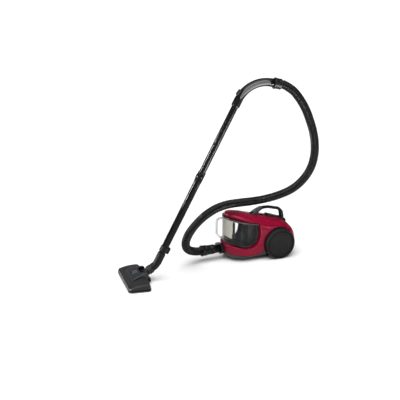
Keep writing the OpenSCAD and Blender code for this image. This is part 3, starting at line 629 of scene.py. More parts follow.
def pocket_sides(x, z):
    rails = -(z + x * RAIL_SLOPE - 51.5) * cos(RAIL)
    return meet(rails, x - 12, 80)


def under_arm(x, z):
    return (z - ARM_FOOT - (POCKET_X - x) * RAIL_SLOPE) * cos(RAIL)


def pocket(x, z):
    return meet(pocket_sides(x, z), under_arm(x, z), 6)


def well(x, y, z, r):
    """Round recess for a rear wheel."""
    return most(np.hypot(x - AXLE_X, z - WHEEL_R) - r, WELL_Y - abs(y))


def skin(x, y, z):
    """Body with its pocket and wheel wells."""
    body = cut(outer(x, y, z), pocket(x, z), 5)
    return cut(body, well(x, y, z, LIP_R + 0.4), 1.5)


def bored(f, x, y, z):
    """Takes out the axle holes and the hose inlet."""
    f = most(f, 6.6 - np.hypot(x - AXLE_X, z - WHEEL_R))
    return most(f, -most(np.hypot(y, z - INLET_Z) - 27.3, x + 138.8))


def tilted_box(at, size, air, x, y, z):
    """Field of a button's hole; at is x, y, z and the tilt of its top."""
    u, w = turned(x - at[0], z - at[2], at[3])
    return box_field(u, y - at[1], w, (size[0] / 2 + air, size[1] / 2 + air, 40), 3)


RELEASE = ((63, 0, 210, 15.5), (24, 22, 18))
PEDAL_SIZE = (24, 34, 20)
PEDALS = {"power": (176, -47, 166.5, 30), "rewind": (176, 47, 166.5, 30)}


def top_field(x, y, z):
    f = skin(x, y, z)
    # The tongue is one thick moulding; the rest is a shell
    f = most(f, -f - np.where(x < 12, TONGUE_WALL, SHELL_WALL))
    f = meet(f, parting(x) + GAP / 2 - z, 0.8)
    for at, size in [RELEASE] + [(p, PEDAL_SIZE) for p in PEDALS.values()]:
        f = cut(f, tilted_box(at, size, 0.7, x, y, z), 0.8)
    return f


def lower_field(x, y, z):
    f = skin(x, y, z)
    f = most(f, -f - SHELL_WALL)
    f = meet(f, z - parting(x) + GAP / 2, 0.8)
    f = meet(f, seam(x) + GAP / 2 - z, 0.8)
    f = most(f, -box_field(x - 217, y + 19, z - 82, (10, 27.2, 22.2), 3))
    f = most(f, -box_field(x - 217, y - 26, z - 71, (10, 8.2, 11.2), 3))
    return bored(f, x, y, z)


def hull_field(x, y, z):
    f = meet(skin(x, y, z), 14 - z, 22)
    caster = most(np.hypot(x - CASTER_X, y) - 31, z - 33)
    f = cut(f, caster, 1.5)
    f = most(f, -f - HULL_WALL)
    f = meet(f, z - seam(x) + GAP / 2, 0.8)
    f = most(f, 5 - np.hypot(x - CASTER_X, y))
    return bored(f, x, y, z)


def arch_field(x, y, z):
    r = np.hypot(x - AXLE_X, z - WHEEL_R)
    lip = meet(most(r - LIP_R, 78.8 - r), outer(x, y, z) - 0.8, 0.8)
    lip = most(lip, WELL_Y + 0.3 - abs(y))
    disc = most(r - LIP_R, most(WELL_Y + 0.3 - abs(y), abs(y) - 94))
    f = most(least(lip, disc), 7 - r)
    return most(f, 22 - z)


def make_shells():
    cell = 2.0
    solid("red_top", top_field, (-164, -108, 98), (226, 108, 252), cell, *ON_CANISTER, RED,
          node="top_shell")
    solid("red_lower", lower_field, (-160, -108, 26), (226, 108, 202), cell, *ON_CANISTER, RED,
          node="lower_shell")
    solid("hull", hull_field, (-160, -108, 10), (226, 108, 114), cell, *ON_CANISTER, HULL, node="chassis")
    solid("arches", arch_field, (18, -110, 18), (206, 110, 172), 1.6, *ON_CANISTER, BLACK_SATIN,
          node="wheel_arches")


# --- dust bin

BIN_X, BIN_R, BIN_WALL = -60, 86, 2.4


def plan_of_bin(x, y):
    return np.where(x < BIN_X, np.hypot(x - BIN_X, y), abs(y)) - BIN_R


def bin_inside(x, y, z, wall):
    return meet(plan_of_bin(x, y) + wall, pocket_sides(x, z) + 1.2 + wall, 4)


def container_field(x, y, z):
    f = meet(bin_inside(x, y, z, 0), under_arm(x, z) + 10, 0.8)
    return most(f, -bin_inside(x, y, z, BIN_WALL))


def lid_field(x, y, z):
    f = meet(bin_inside(x, y, z, -0.6), under_arm(x, z) + 1.2, 4)
    return meet(f, -under_arm(x, z) - 9.8, 0.8)


def cone_field(x, y, z):
    u, h = turned(x + 50, z - 92, 8)
    r = np.interp(h, [-20, 8, 38, 140], [35, 34, 23.5, 23.5])
    ribs = 1.2 * np.cos(2 * pi * h / 5.5) * step(h, 2, 8)
    f = np.hypot(u, y) - r - ribs
    f = meet(f, bin_inside(x, y, z, 2.9), 1)
    f = most(f, under_arm(x, z) + 10.2)
    return most(f, -most(f + 3, -h - 60))


def panel_field(x, y, z, front, rear):
    shell = abs(plan_of_bin(x, y) + 3.7) - 1.0
    f = most(shell, most(x - rear, front - x))
    f = meet(f, under_arm(x, z) + 12, 1)
    return meet(f, pocket_sides(x, z) + 36, 1)


def back_field(x, y, z):
    """Dark tray along the rails and the heel, and the cyclone's housing behind the cone."""
    inside = meet(bin_inside(x, y, z, 2.9), under_arm(x, z) + 11, 1)
    tray = most(-14 - pocket_sides(x, z), -118 - x)
    housing = meet(-42 - x, abs(y) - 58, 12)
    return most(inside, least(tray, housing))


def make_bin():
    low, high = (-150, -90, 50), (14, 90, 226)
    solid("bin", container_field, low, high, 1.5, *IN_BIN, CLEAR,
          node="bin_container")
    solid("bin_lid_top", lid_field, (-150, -90, 172), (14, 90, 232), 1.6, *IN_BIN, LID_RED, node="bin_lid")
    solid("cyclone", cone_field, (-92, -40, 56), (0, 40, 206), 1.2, *IN_BIN, CONE, node="cyclone_cone")
    solid("front_panel", lambda x, y, z: panel_field(x, y, z, -300, -122), (-148, -88, 90), (-118, 88, 222),
        1.3,
          *IN_BIN, CREAM, node="inner_panel")
    solid("panel_edge", lambda x, y, z: panel_field(x, y, z, -121, -111), (-124, -88, 80), (-108, 88, 218),
        1.3,
          *IN_BIN, DARK_GREY, slot="cone_plastic")
    solid("bin_back", back_field, (-124, -88, 50), (12, 88, 204), 1.6, *IN_BIN, BLUE_BLACK)
    loop = fillet([(-144, 112), (-164, 112, 4), (-182.5, 134, 16), (-182.5, 204, 14), (-170, 213, 10),
        (-144, 213.5)], 6)
    path = [(x, 0, z) for x, z in loop]
    sweep("grip_loop", path, lambda i: oval(9, 4, 3.2, 20), *IN_BIN, CLEAR_THICK, node="bin_grip")


# --- carry handle, buttons and rear

def make_carry_handle():
    bar = fillet([(34, 221), (56, 235.5, 20), (74, 238.2, 10), (98, 236.5, 14), (152, 222.5, 22),
        (168, 206, 22), (172, 175)], 6)
    path = [(x, 0, z) for x, z in bar]
    n = len(path)

    def section(i):
        t = i / (n - 1)
        return oval(14 - 1.5 * sin(pi * t), 5.3 + 5.2 * t**3 + 0.8 * (1 - t) ** 3, 3.0, 24)

    sweep("carry_bar", path, section, *ON_CANISTER, BLACK_SATIN, node="carry_handle")
    leg = fillet([(-4, 212.5), (26, 231.4, 6), (52, 241.2, 8), (62, 243.2, 3), (62, 238), (50, 232, 4),
        (37, 214, 4), (40, 202), (18, 207)])
    slab("front_leg", leg, 14.4, *ON_CANISTER, DARK_GREY, 1.8, 3)
    for i in range(7):
        t = i / 6
        at = (12 + 42 * t, 0, 225.2 + 16.2 * t)
        place = CANISTER @ Matrix.Translation(at) @ Matrix.Rotation(radians(-23), 4, "Y")
        block(f"leg_rib_{i}", (3.0, 23, 2.2), place, "canister", PALE_GREY, 0.8, 2)
    base = fillet([
        (84, 193), (110, 185.5, 20), (150, 172, 20), (168, 163, 8), (188, 150), (189, 160, 4), (184.5, 170,
            6),
        (148, 181.5, 25), (110, 196, 20), (88, 203, 3),
    ], 4)
    slab("rear_base", base, 19, *ON_CANISTER, BLACK_SATIN, 2.0, 3, node="handle_base")


def push_button(name, at, size, body, node):
    """Domed button on a stem, in its own hole."""
    place = CANISTER @ Matrix.Translation(at[:3]) @ Matrix.Rotation(radians(at[3]), 4, "Y")
    half = (size[0] / 2, size[1] / 2)

    def field(x, y, z):
        body_f = box_field(x, y, z + size[2] / 2, (half[0], half[1], size[2] / 2), 4)
        dome = z - 0.2 + 1.6 * (x / half[0]) ** 2 + 1.2 * (y / half[1]) ** 2
        dish = 60 - np.sqrt(x * x + y * y + (z - 59.4) ** 2)
        flange = box_field(x, y, z + size[2] + 1, (half[0] + 2, half[1] + 2, 1), 0.8)
        return least(most(meet(body_f, dome, 1.5), -dish), flange)

    low, high = (-half[0] - 3, -half[1] - 3, -size[2] - 3), (half[0] + 3, half[1] + 3, 2)
    solid(name, field, low, high, 1.0, place, body, PEDAL_RED, node=node)


def make_buttons():
    push_button("release", *RELEASE, "bin_button", "release_button")
    for name, at in PEDALS.items():
        push_button(name, at, PEDAL_SIZE, f"{name}_switch", f"{name}_pedal")


def make_rear():
    """Louvred outlet and the bush round the mains lead's hole."""
    place = CANISTER @ Matrix.Translation((216.5, -19, 82))

    def grille(x, y, z):
        frame_f = box_field(x, y, z, (3.2, 26.7, 21.7), 2.5)
        hole = box_field(x, y, z, (9, 22.5, 18), 3)
        slats = abs(((z + 2.4 + 0.5 * x) % 5.2) - 2.6) - 0.9
        slats = most(slats, box_field(x, y, z, (2.6, 24, 19.5), 1))
        return least(cut(frame_f, hole, 1), slats)

    solid("rear_grille", grille, (-5, -28, -23), (5, 28, 23), 0.8, place, "canister", BLACK_SATIN,
          node="exhaust_grille")
    place = CANISTER @ Matrix.Translation((216.5, 26, 71))

    def outlet(x, y, z):
        f = box_field(x, y, z, (4, 7.7, 10.7), 2.5)
        return cut(f, np.hypot(y, z) - 4.4 - 0.25 * most(x, 0) ** 1.5, 0.8)

    solid("lead_bush", outlet, (-5, -9, -12), (5, 9, 12), 0.7, place, "canister", BLACK_SATIN,
          node="cord_outlet")


# --- wheels

def make_wheel(side, sign):
    """Tyre, rim and cap, turned about the axle with z outwards."""
    place = facing(AXLE_X, 0, WHEEL_R, (0, sign, 0))
    body = f"{side}_rear_wheel"
    tread = fillet([
        (70.2, 100.3), (74, 100, 1), (77, 101.5, 1.5), (78, 104, 1), (78, 112), (77.3, 112.4), (77.3,
            113.6), (78, 114),
        (78, 121.5, 1.5), (76.6, 125, 2), (72.5, 126, 1.5), (70.2, 125.4),
    ])
    lathe(f"{side}_tread", tread, place, body, RUBBER, 128, node=f"{side}_tyre")
    rim = fillet([
        (6.1, 100.2), (14, 100.2, 1), (14, 116), (62, 117), (63, 101, 1), (69.9, 100.6, 1), (69.9, 124.2,
            1.5),
        (67, 124.8, 1), (66, 122.4), (64.6, 122.4), (63.4, 124, 0.5), (63.4, 119.5), (6.1, 119),
    ])
    lathe(f"{side}_rim", rim, place, body, BLACK_SATIN, 128, node=f"{side}_wheel")
    cap = fillet([
        (0, 120.4), (62.6, 120.4), (62.8, 123.2, 1), (60.5, 124.8, 1.5), (52, 125.1), (51.2, 124.7), (50.4,
            125.15),
        (30, 125.5), (0, 125.8),
    ])
    lathe(f"{side}_disc", cap, place, body, CAP_GREY, 128, node=f"{side}_cap")


def make_caster():
    place = facing(-47, 0, 12, (0, 1, 0))
    profile = fillet([(2.6, -8), (9, -8, 0.5), (10, -8.5, 1), (12, -6, 2), (12, 6, 2), (10, 8.5, 1),
        (9, 8, 0.5), (2.6, 8)])
    lathe("caster_roller", profile, place, "caster_roller", RUBBER, 48, node="caster_wheel")


# --- inlet and hose

HOSE_EXIT = 10.0
CONNECTOR_X = -238.0
# Same route as in part.scad
HOSE_ROUTE = [
    (117, -215, 887), (162, -199, 836), (201, -181, 780), (233, -163, 720), (260, -149, 656), (277, -139,
        589),
    (281, -130, 520), (268, -118, 452), (237, -100, 392), (194, -74, 343), (142, -42, 309), (81, -14, 287),
    (13, 1, 278), (-57, -3, 281), (-123, -24, 289), (-185, -57, 296), (-246, -91, 294), (-308, -114, 273),
    (-359, -113, 225), (-378, -91, 173), (-374, -64, 130), (-358, -39, 98), (-336, -20, 76), (-312, -8, 63),
    (-288, -2, 56),
]
TO_CANISTER = CANISTER.inverted() @ WAND


def beyond_grip(distance):
    p = GRIP_END + distance * heading(END_ANGLE)
    return tuple(TO_CANISTER @ Vector((p[0], 0, p[1])))


def hose_line(spacing):
    """Evenly spaced points along the hose, in the canister's millimetres."""
    pegs = [beyond_grip(d) for d in (-9, HOSE_EXIT, 29, 48, 66)] + HOSE_ROUTE
    pegs = np.array(pegs + [(x, 0, INLET_Z) for x in (-268, -250, CONNECTOR_X, CONNECTOR_X + 14)])
    points = []
    for i in range(1, len(pegs) - 2):
        a, b, c, d = pegs[i - 1 : i + 3]
        for t in np.arange(0, 1, 1 / 24):
            bend = (2 * a - 5 * b + 4 * c - d) * t**2 + (3 * b - a - 3 * c + d) * t**3
            points.append(0.5 * (2 * b + (c - a) * t + bend))
    points = np.array(points + [pegs[-2]])
    run = np.concatenate([[0], np.cumsum(np.linalg.norm(np.diff(points, axis=0), axis=1))])
    at = np.linspace(0, run[-1], int(run[-1] / spacing) + 1)
    return np.stack([np.interp(at, run, points[:, k]) for k in range(3)], 1), run[-1]


def make_hose():
    """Helically ribbed hose from the handle's collar to the connector."""
    spacing, sides, pitch = (1.0), 28, 6.4
    line, length = hose_line(spacing)
    angle = np.arange(sides) * 2 * pi / sides

    def section(i):
        turns = i * spacing / pitch + angle / (2 * pi)
        rib = (0.5 + 0.5 * np.cos(2 * pi * turns)) ** 0.7
        r = HOSE_R - 2.2 * (1 - rib)
        return np.stack([r * np.cos(angle), r * np.sin(angle)], 1)

    hose = sweep("ribbed_hose", line, section, *ON_CANISTER, HOSE, side=(0, 1, 0.2), sharp=70,
                 node="hose")


def make_inlet():
    place = facing(0, 0, INLET_Z, (-1, 0, 0))

    def socket(x, y, z):
        r = np.hypot(y, z - INLET_Z)
        h = -x
        body = most(r - 27, most(139.2 - h, h - 164))
        flange = meet(r - 29, abs(h - 163.6) - 3.2, 1.4)
        f = join(body, flange, 1.5)
        bore = most(r - 21.6, 142 - h)
        f = cut(f, bore, 0.8)
        f = most(f, 11 - r)
        return cut(f, most(most(abs(y) - 9.7, INLET_Z - z), abs(x + 175.6) - 18.4), 0.5)

    solid("inlet_ring", socket, (-169, -31, 23), (-137, 31, 85), 1.0, *ON_CANISTER, BLACK_SATIN,
          node="inlet_socket")
    cuff = fillet([
        (17, 143.2), (20.9, 143.2, 0.8), (20.9, 193.6), (22.8, 196, 0.8), (22.8, 199), (24, 200.5,
            0.6), (24, 219),
        (23.2, 220), (23.2, 221.6), (24, 222.6), (24, 236, 1), (22.5, 238), (21.3, 238), (21.3, 224), (17,
            223),
    ])
    lathe("connector_cuff", cuff, place, "canister", BLACK_GLOSS, 72, node="hose_connector")
    collar = fillet([
        (21.8, 238.6), (25.2, 238.6, 1), (26.6, 240.6, 1), (26.6, 247), (26, 247.8), (26, 249), (26.6, 249.8),
        (26.6, 257.5), (28, 260.5, 1.2), (28, 266.5, 1.4), (25.8, 268, 0.6), (21.8, 268),
    ])
    lathe("connector_collar", collar, place, "hose_swivel", BLACK_GLOSS, 72, node="swivel_collar")

    def latch(x, y, z):
        side = np.hypot(most(abs(x + 175.3) - 7.6, 0), y) - 9
        top = z - 84.2 + 0.012 * (x + 175) ** 2
        f = meet(meet(side, top, 1.6), 78.2 - z, 0.6)
        return most(f, 22 - np.sqrt((x + 183) ** 2 + y * y + (z - 104.5) ** 2))

    solid("connector_latch", latch, (-194, -11, 76), (-156, 11, 87), 0.8, CANISTER, "hose_button", MID_GREY,
          node="connector_button")


# --- handle and wand

def pipe(name, path, outer_r, inner_r, place, body, material, sides=48, **rest):
    """Hollow round tube along a path, with a radius for each point."""
    path = np.asarray(path, float)
    side, top = path_frames(path, (0, 1, 0))
    a = np.arange(sides) * 2 * pi / sides
    round_ = lambda i, r: path[i] + r * (np.cos(a)[:, None] * side[i] + np.sin(a)[:, None] * top[i])
    n = len(path)
    rings = [round_(i, outer_r[i]) for i in range(n)] + [round_(i, inner_r[i]) for i in reversed(range(n))]
    faces = between_rings(2 * n, sides, 2 * n)
    return sharpen(build(name, np.concatenate(rings), faces, place, body, material, **rest), 50)


def grip_line(step_deg=2.0, before=34.0, after=10.0):
    """Handle's centreline in the wand's plane, and each point's distance round the bend in degrees."""
    start = [GRIP_START - s * heading(WAND_ANGLE) for s in np.arange(before, 0, -4)]
    turns = np.linspace(0, SWEEP, int(SWEEP / step_deg) + 1)
    bend = [GRIP_CENTRE + BEND_R * heading(WAND_ANGLE + 90 - a) for a in turns]
    end = [GRIP_END + s * heading(END_ANGLE) for s in np.arange(2.5, after + 0.1, 2.5)]
    line = np.array(start + bend + end)
    return np.stack([line[:, 0], np.zeros(len(line)), line[:, 1]], 1), len(start), turns


def make_handle():
    line, first, turns = grip_line()
    n, bend = len(line), len(turns)
    outer_r = np.full(n, GRIP_R)
    outer_r[:first] = 20.8
    outer_r[0] = 19.6
    outer_r[first : first + 3] = (20.7, 20.5, 20.2)
    outer_r[first + bend - 2 :] = 20.6
    outer_r[-1] = 19.9
    inner_r = np.full(n, 17.0)
    inner_r[:first] = 16.1
    pipe("grip", line, outer_r, inner_r, *ON_WAND, BLACK_GLOSS, 56, node="grip_tube")
    for sign in (-1, 1):
        span = line[first + 2 : first + bend - 2]
        count = len(span)

        def section(i, sign=sign, count=count):
            t = (i + 0.5) / count
            taper = min(1, (t / 0.32) ** 0.6) * min(1, ((1 - t) / 0.08) ** 0.5)
            phi = np.radians(np.linspace(-34, 34, 9)) * taper + radians(6)
            out = np.stack([21.0 * np.cos(phi), 21.0 * np.sin(phi)], 1)
            out[0] = out[0] * 20.2 / 21
            out[-1] = out[-1] * 20.2 / 21
            back = np.stack([19.4 * np.cos(phi[::-1]), 19.4 * np.sin(phi[::-1])], 1)
            return np.concatenate([out, back]) * (sign, 1)

        end, node = ("near", "grip_inlays") if sign < 0 else ("far", None)
        sweep(f"grip_inlay_{end}", span, section, *ON_WAND, MID_GREY, node=node)
    across = WAND_ANGLE + 90 - SLIDER_TURN
    mid = GRIP_CENTRE + (BEND_R + GRIP_R) * heading(across)

    def slider(x, y, z):
        f = meet(box_field(x, y, z, (15, 12, 4.6), 2), 20.35 - np.hypot(y, z + 20), 0.3)
        ribs = 0.9 * np.cos(2 * pi * x / 4.6) * step(12 - abs(x), 0, 2)
        return most(f, np.where(z > 1, z - 4.0 - ribs + 0.008 * x * x, f))

    solid("suction_slide", slider, (-17, -14, -6), (17, 14, 6), 0.8, on_wand(mid, across), "suction_valve",
          DARK_GREY, node="suction_slider", slot="pedal_plastic")
    flare = fillet([
        (21.8, 10.6), (25.2, 10.6, 1), (27.4, 13.2, 1.5), (27.4, 18.8, 1.5), (26.1, 22.5, 2), (25.2, 34,
            6), (26.2, 45.5, 1.5),
        (25.2, 48.2, 1), (21.8, 48.2),
    ], 4)
    lathe("grip_flare", flare, on_wand(GRIP_END, END_ANGLE), "handle_swivel", BLUE_BLACK, 72,
        node="grip_collar",
          slot="blue_black")


def make_wand():
    place = on_wand(CORNER, WAND_ANGLE)
    upper = [(14.5, 456.2), (16, 456.2), (16, 700), (16, 881), (14.5, 881)]
    lathe("tube_upper", upper, place, "canister", TUBE, 72, node="upper_tube")
    lower = fillet([
        (16, 34.2), (17.5, 34.2, 0.5), (17.5, 445, 2), (19, 449, 1), (19, 456), (18.4, 456.6), (18.4,
            458), (19, 458.6),
        (19, 488), (18.4, 488.6), (18.4, 490), (19, 490.6), (19, 498, 1), (17.6, 500, 0.5), (16.1,
            500), (16.1, 456),
        (16, 455.6),
    ])
    lathe("tube_lower", lower, place, "canister", TUBE, 72, node="lower_tube", slot="tube_matt")
    ring = fillet([(17.6, 70.2), (19.4, 70.2, 0.6), (20.1, 72, 0.8), (20.1, 94, 0.8), (19.4, 95.8, 0.6),
        (17.6, 95.8)], 2)
    lathe("clip_ring", ring, place, "canister", BLACK_SATIN, node="park_clip")
    hook = fillet([(19.6, 66), (22, 66, 0.6), (22, 90, 1.5), (26, 90, 1.5), (26, 66, 0.6), (29, 66, 1),
        (29, 96, 4), (24, 100, 3), (19.6, 99)])
    slab("clip_hook", hook, 7, place, "canister", BLACK_SATIN, 0.8)
    button = place @ Matrix.Translation((-18.6, 0, 472))
    block("tube_catch", (3.4, 10, 18), button, "canister", DARK_GREY, 1.2, slot="black_satin")


def make_neck():
    """Elbow, neck with its hinge barrel, and the knurled collar."""
    turn = WAND_ANGLE - NECK_ANGLE
    leg = 60 * tan(radians(turn / 2))
    low = [np.array([0, PIVOT_Z]) + s * heading(NECK_ANGLE) for s in (46.5, 47.5, 50, 55, NECK_LEN - leg)]
    centre = CORNER - leg * heading(NECK_ANGLE) + 60 * heading(NECK_ANGLE + 90)
    arc = [centre + 60 * heading(NECK_ANGLE - 90 + a) for a in np.arange(3, turn, 3)]
    high = [CORNER + s * heading(WAND_ANGLE) for s in (leg, 22, 30, 34, 34.5, 50, 58, 59.6, 60)]
    line = np.array(low + arc + high)
    line = np.stack([line[:, 0], np.zeros(len(line)), line[:, 1]], 1)
    outer_r = np.full(len(line), 19.5)
    outer_r[0], outer_r[-1] = 18.9, 18.7
    outer_r[len(low) + 1 : len(low) + len(arc) - 1] = 19.0
    inner_r = np.full(len(line), 14.5)
    inner_r[-5:] = 17.55
    pipe("elbow_bend", line, outer_r, inner_r, *ON_WAND, BLACK_SATIN, 56, node="elbow")

    c, s = heading(NECK_ANGLE)

    def neck(u, v, w):
        along, up = u * c + (w - PIVOT_Z) * s, -u * s + (w - PIVOT_Z) * c
        barrel = meet(np.hypot(u, w - PIVOT_Z) - 17, abs(v) - 25, 1.5)
        stem = meet(np.hypot(up, v) - 19, most(along - 46, -along), 1)
        f = join(barrel, stem, 5)
        f = most(f, -most(np.hypot(up, v) - 14.5, 6 - along))
        return most(f, 3.06 - np.hypot(u, w - PIVOT_Z))

    solid("neck_body", neck, (-20, -28, 14), (52, 28, 82), 1.3, WAND, "neck_joint", BLACK_SATIN, node="neck")
    knurl = fillet([(19.1, 24.2), (21.4, 24.2, 0.6), (22, 26, 0.8), (22, 43.6, 0.8), (21.2, 45.6, 0.6),
        (19.1, 45.6)], 2)
    flute = lambda a, h, r: np.where((r > 21.8) & (h > 26), 1 - 0.035 * (0.5 - 0.5 * np.cos(20 * a)) ** 2, 1)
    fine = [p for a, b in zip(knurl, np.roll(knurl, -1, 0)) for p in np.linspace(a, b, 3, endpoint=False)]
    lathe("neck_knurl", fine, on_wand((0, PIVOT_Z), NECK_ANGLE), "neck_joint", DARK_GREY, 160, flute,
        node="neck_collar",
          slot="black_satin")


# --- floor head

HEAD_TOP = curve((-112, 10), (-104, 20), (-98, 25.5), (-80, 32.5), (-60, 37.3), (-40, 40), (-20, 41),
    (-6, 40), (2, 36.5), (9, 29))
HOUSING_TOP = curve((-96, 27), (-82, 34), (-66, 45), (-40, 54.5), (-10, 61), (4, 60.5), (14, 57))
HEAD_U, HEAD_HALF, HEAD_CORNER = -49, (55, 140), 18
BRUSH_U, ROLLER_Z = (-86, -35), 22


def head_plan(u, v, inset=0.0):
    (half_u, half_v), r = HEAD_HALF, HEAD_CORNER
    return rounded(abs(u - HEAD_U) - half_u + r + inset, abs(v) - half_v + r + inset, r)


def head_top(u, v, w):
    slope = (HEAD_TOP(u + 1) - HEAD_TOP(u - 1)) / 2
    return (w - HEAD_TOP(u) + 7 * (v / 140) ** 4) / np.hypot(1, slope)


def pedal_hole(u, v):
    return most(abs(u + 46) - 16.6, abs(v) - 16.6)


def cover_field(u, v, w):
    f = meet(head_plan(u, v, 0.8), head_top(u, v, w), 9)
    f = most(f, -f - 2.6)
    f = most(f, 13.2 - w)
    f = cut(f, most(abs(v) - 53.4, -27.4 - u), 1)
    f = most(f, -pedal_hole(u, v))
    return cut(f, most(w - 22.8, u + 92), 0.5)


def strip_field(u, v, w):
    """Bumper along the front edge, bevelled like the cover above it."""
    f = meet(head_plan(u, v, 0.2), head_top(u, v, w) - 0.2, 4)
    f = most(f, -head_plan(u, v, 5.5))
    return meet(f, most(most(w - 22.2, 13.3 - w), u + 92.4), 0.8)


def housing_field(u, v, w):
    slope = (HOUSING_TOP(u + 1) - HOUSING_TOP(u - 1)) / 2
    half = 53 + 19 * step(-u, -5, 75)
    top = (w - HOUSING_TOP(u) + 3 * (v / half) ** 4) / np.hypot(1, slope)
    f = meet(meet(top, abs(v) - half, 4), u - 10, 5)
    f = most(f, -f - 3)
    f = most(f, np.where(u < -27, 0.3 - head_top(u, v, w), 31 - w))
    f = cut(f, most(abs(v) - 33, -24 - u), 3)
    return cut(f, pedal_hole(u, v), 0.8)


def base_field(u, v, w):
    plate = meet(head_plan(u, v), abs(w - 9) - 4, 1.2)
    ridge = meet(head_plan(u, v, 0.9), abs(w - 9) - 0.8, 0.3)
    groove = most(-head_plan(u, v, 1.2), abs(w - 9) - 0.9)
    plate = least(most(plate, -groove), most(ridge, plate))
    for at in BRUSH_U:
        plate = most(plate, -most(abs(u - at) - 2.6, abs(v) - 104.6))
    plate = most(plate, -most(abs(u + 60) - 18, abs(v) - 118))
    plate = most(plate, -most(most(head_plan(u, v, 6), u + 30), w - 7.2))
    plate = most(plate, -most(abs(v) - 52, -27 - u))
    ear = most(most(abs(u + 6) - 18, w - 45 + 0.12 * most(abs(u) - 8, 0) ** 2), 8 - w)
    ear = meet(ear, abs(abs(v) - 30) - 2.6, 0.8)
    f = least(plate, most(ear, -26 - u))
    f = most(f, 3.02 - np.hypot(u, w - PIVOT_Z))
    return most(f, 2.56 - np.hypot(u, w - ROLLER_Z))


def tufts(name, us, body, material, **rest):
    """Rows of bristle tufts under a thin holder."""
    points, faces = [], []
    corners = ((-1, -0.8), (1, -0.8), (1.2, 0.8), (-1, 0.8))
    for row, u in enumerate(us):
        for i in range(69):
            v = -102 + 3 * i
            spread = 0.5 * sin(2.4 * i + row)
            first = len(points)
            for w, half, shift in ((7.4, 0.9, 0.0), (4.0, 1.15, 0.4 * spread), (0.5, 1.25, spread)):
                points += [(u + shift + 1.2 * half * a, v + half * b, w) for a, b in corners]
            for ring in (0, 4):
                for k in range(4):
                    a, b = first + ring + k, first + ring + (k + 1) % 4
                    faces.append((a, b, b + 4, a + 4))
            faces += [tuple(first + k for k in (3, 2, 1, 0)), tuple(first + 8 + k for k in range(4))]
    obj = build(name, points, faces, WAND, body, material, smooth=False, **rest)
    for u in us:
        block(f"{name}_holder_{abs(u)}", (4, 208, 2.2), WAND @ Matrix.Translation((u, 0, 8.2)), body,
            BLACK_SATIN, 0.5, 2,
              slot="brush_bristle")
    return obj


def make_head():
    solid("head_lid", cover_field, (-108, -144, 10), (10, 144, 46), 1.6, *ON_HEAD, DARK_GREY,
          node="head_cover")
    solid("front_strip", strip_field, (-108, -144, 11), (-88, 144, 25), 1.0, *ON_HEAD, STRIP_GREY,
          node="bumper_strip")
    solid("head_hump", housing_field, (-92, -76, 24), (14, 76, 66), 1.4, *ON_HEAD, BLUE_GREY,
          node="head_housing")
    solid("head_floor", base_field, (-108, -144, 3), (16, 144, 48), 1.6, *ON_HEAD, BLACK_SATIN,
          node="head_base")
    tufts("bristles", BRUSH_U, "brushes", BRISTLE, node="brush_strips")
    rocker = fillet([(-60, 44.8), (-60, 47.6, 1), (-46, 53.4, 8), (-32.4, 55.3, 1), (-32.4, 52),
        (-42, 44.6), (-50, 44.4)])
    slab("rocker", rocker, 15, WAND, "brush_rocker", STRIP_GREY, node="brush_pedal", slot="pedal_plastic")
    for sign in (-1, 1):
        turn = Vector((0, sign, 0)).to_track_quat("Z", "X").to_matrix().to_4x4()
        place = WAND @ Matrix.Translation((0, 0, ROLLER_Z)) @ turn
        profile = fillet([
            (0, 26.6), (2.5, 26.6), (2.5, 35), (12, 35), (13, 36.5), (17, 36.5), (18, 35.2), (20.5, 35.2,
                1), (22, 37.5, 1.5),
            (22, 47.5, 1.5), (20.5, 49.8, 1), (17, 49.8), (15.5, 48), (8, 48), (7, 49.4), (0, 49.6),
        ])
        end, node = ("near", "head_wheels") if sign < 0 else ("far", None)
        lathe(f"head_roller_{end}", profile, place, "floor_head_wheels", RUBBER, node=node)


# --- camera, floor and light

def make_camera():
    data = bpy.data.cameras.new("camera")
    data.lens, data.sensor_width = 126, 36
    data.clip_end = 100
    camera = in_scene("camera", data)
    azimuth, elevation = radians(22.7), radians(19.8)
    forward = Vector((
        sin(azimuth) * cos(elevation), cos(azimuth) * cos(elevation), -sin(elevation)
    ))
    camera.location = CANISTER @ Vector((-2756, -5939.4, 2641.2))
    camera.rotation_euler = forward.to_track_quat("-Z", "Y").to_euler()
    bpy.context.scene.camera = camera


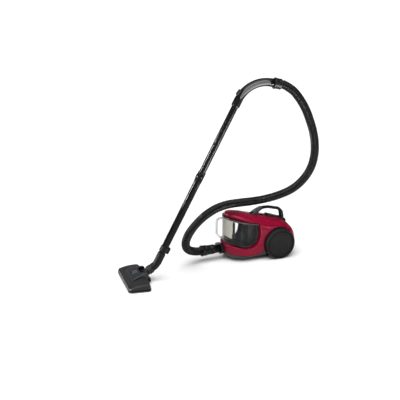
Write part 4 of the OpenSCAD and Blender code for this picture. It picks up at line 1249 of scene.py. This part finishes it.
def softbox(name, at, target, size, power):
    data = bpy.data.lights.new(name, "AREA")
    data.shape, data.size, data.size_y, data.energy = "RECTANGLE", *size, power
    lamp = in_scene(name, data)
    lamp.location = at
    lamp.rotation_euler = (Vector(target) - Vector(at)).to_track_quat("-Z", "Y").to_euler()
    lamp.visible_camera = False
    return lamp


def make_studio():
    n = Nodes("floor_white")
    n.link(n.blend(n.ranged(n.noise(3), 0, 1), (0.86, 0.86, 0.86), (0.88, 0.88, 0.88)),
        n.shader.inputs["Base Color"])
    n.constant(Roughness=0.9, Specular_IOR_Level=0.1)
    reach = 30
    mesh = bpy.data.meshes.new("floor")
    mesh.from_pydata([(-reach, -reach, 0), (reach, -reach, 0), (reach, reach, 0), (-reach, reach, 0)], [],
        [(0, 1, 2, 3)])
    mesh.materials.append(n.material)
    in_scene("floor", mesh)
    world = bpy.data.worlds.new("studio")
    world.use_nodes = True
    world.node_tree.nodes["Background"].inputs["Color"].default_value = (1, 1, 1, 1)
    world.node_tree.nodes["Background"].inputs["Strength"].default_value = 0.16
    scene = bpy.context.scene
    scene.world = world
    scene.view_settings.view_transform = "Standard"
    sun = bpy.data.lights.new("overhead", "SUN")
    sun.energy, sun.angle = 4.0, radians(70)
    lamp = in_scene("overhead", sun)
    lamp.rotation_euler = (radians(12), radians(-10), 0)
    middle = (0.05, 0, 0.35)
    softbox("left_box", (-3.2, -2.4, 1.8), middle, (1.2, 1.6), 14)
    softbox("right_box", (3.0, -2.6, 1.2), middle, (0.4, 2.4), 20)
    # Two narrow strips that only show as streaks on the glossy tubes: one at the left, one along the floor
    left_at, left_target = ORIGIN + Vector((-3.2, 0.6, 1.3)), ORIGIN + Vector((-0.36, -0.15, 0.45))
    left = softbox("left_strip", left_at, left_target, (0.22, 0.8), 130)
    low = softbox("floor_strip", ORIGIN + Vector((0.24, -1.36, 0.03)), ORIGIN + Vector((0, 0, 1)),
        (0.14, 1.1), 50)
    low.rotation_euler = (pi, 0, radians(33.5))
    for lamp in (left, low):
        lamp.visible_diffuse = False


make_camera()
make_hose()
make_shells()
make_bin()
make_carry_handle()
make_buttons()
make_rear()
make_wheel("left", -1)
make_wheel("right", 1)
make_caster()
make_inlet()
make_handle()
make_wand()
make_neck()
make_head()
finish_cad()
make_studio()
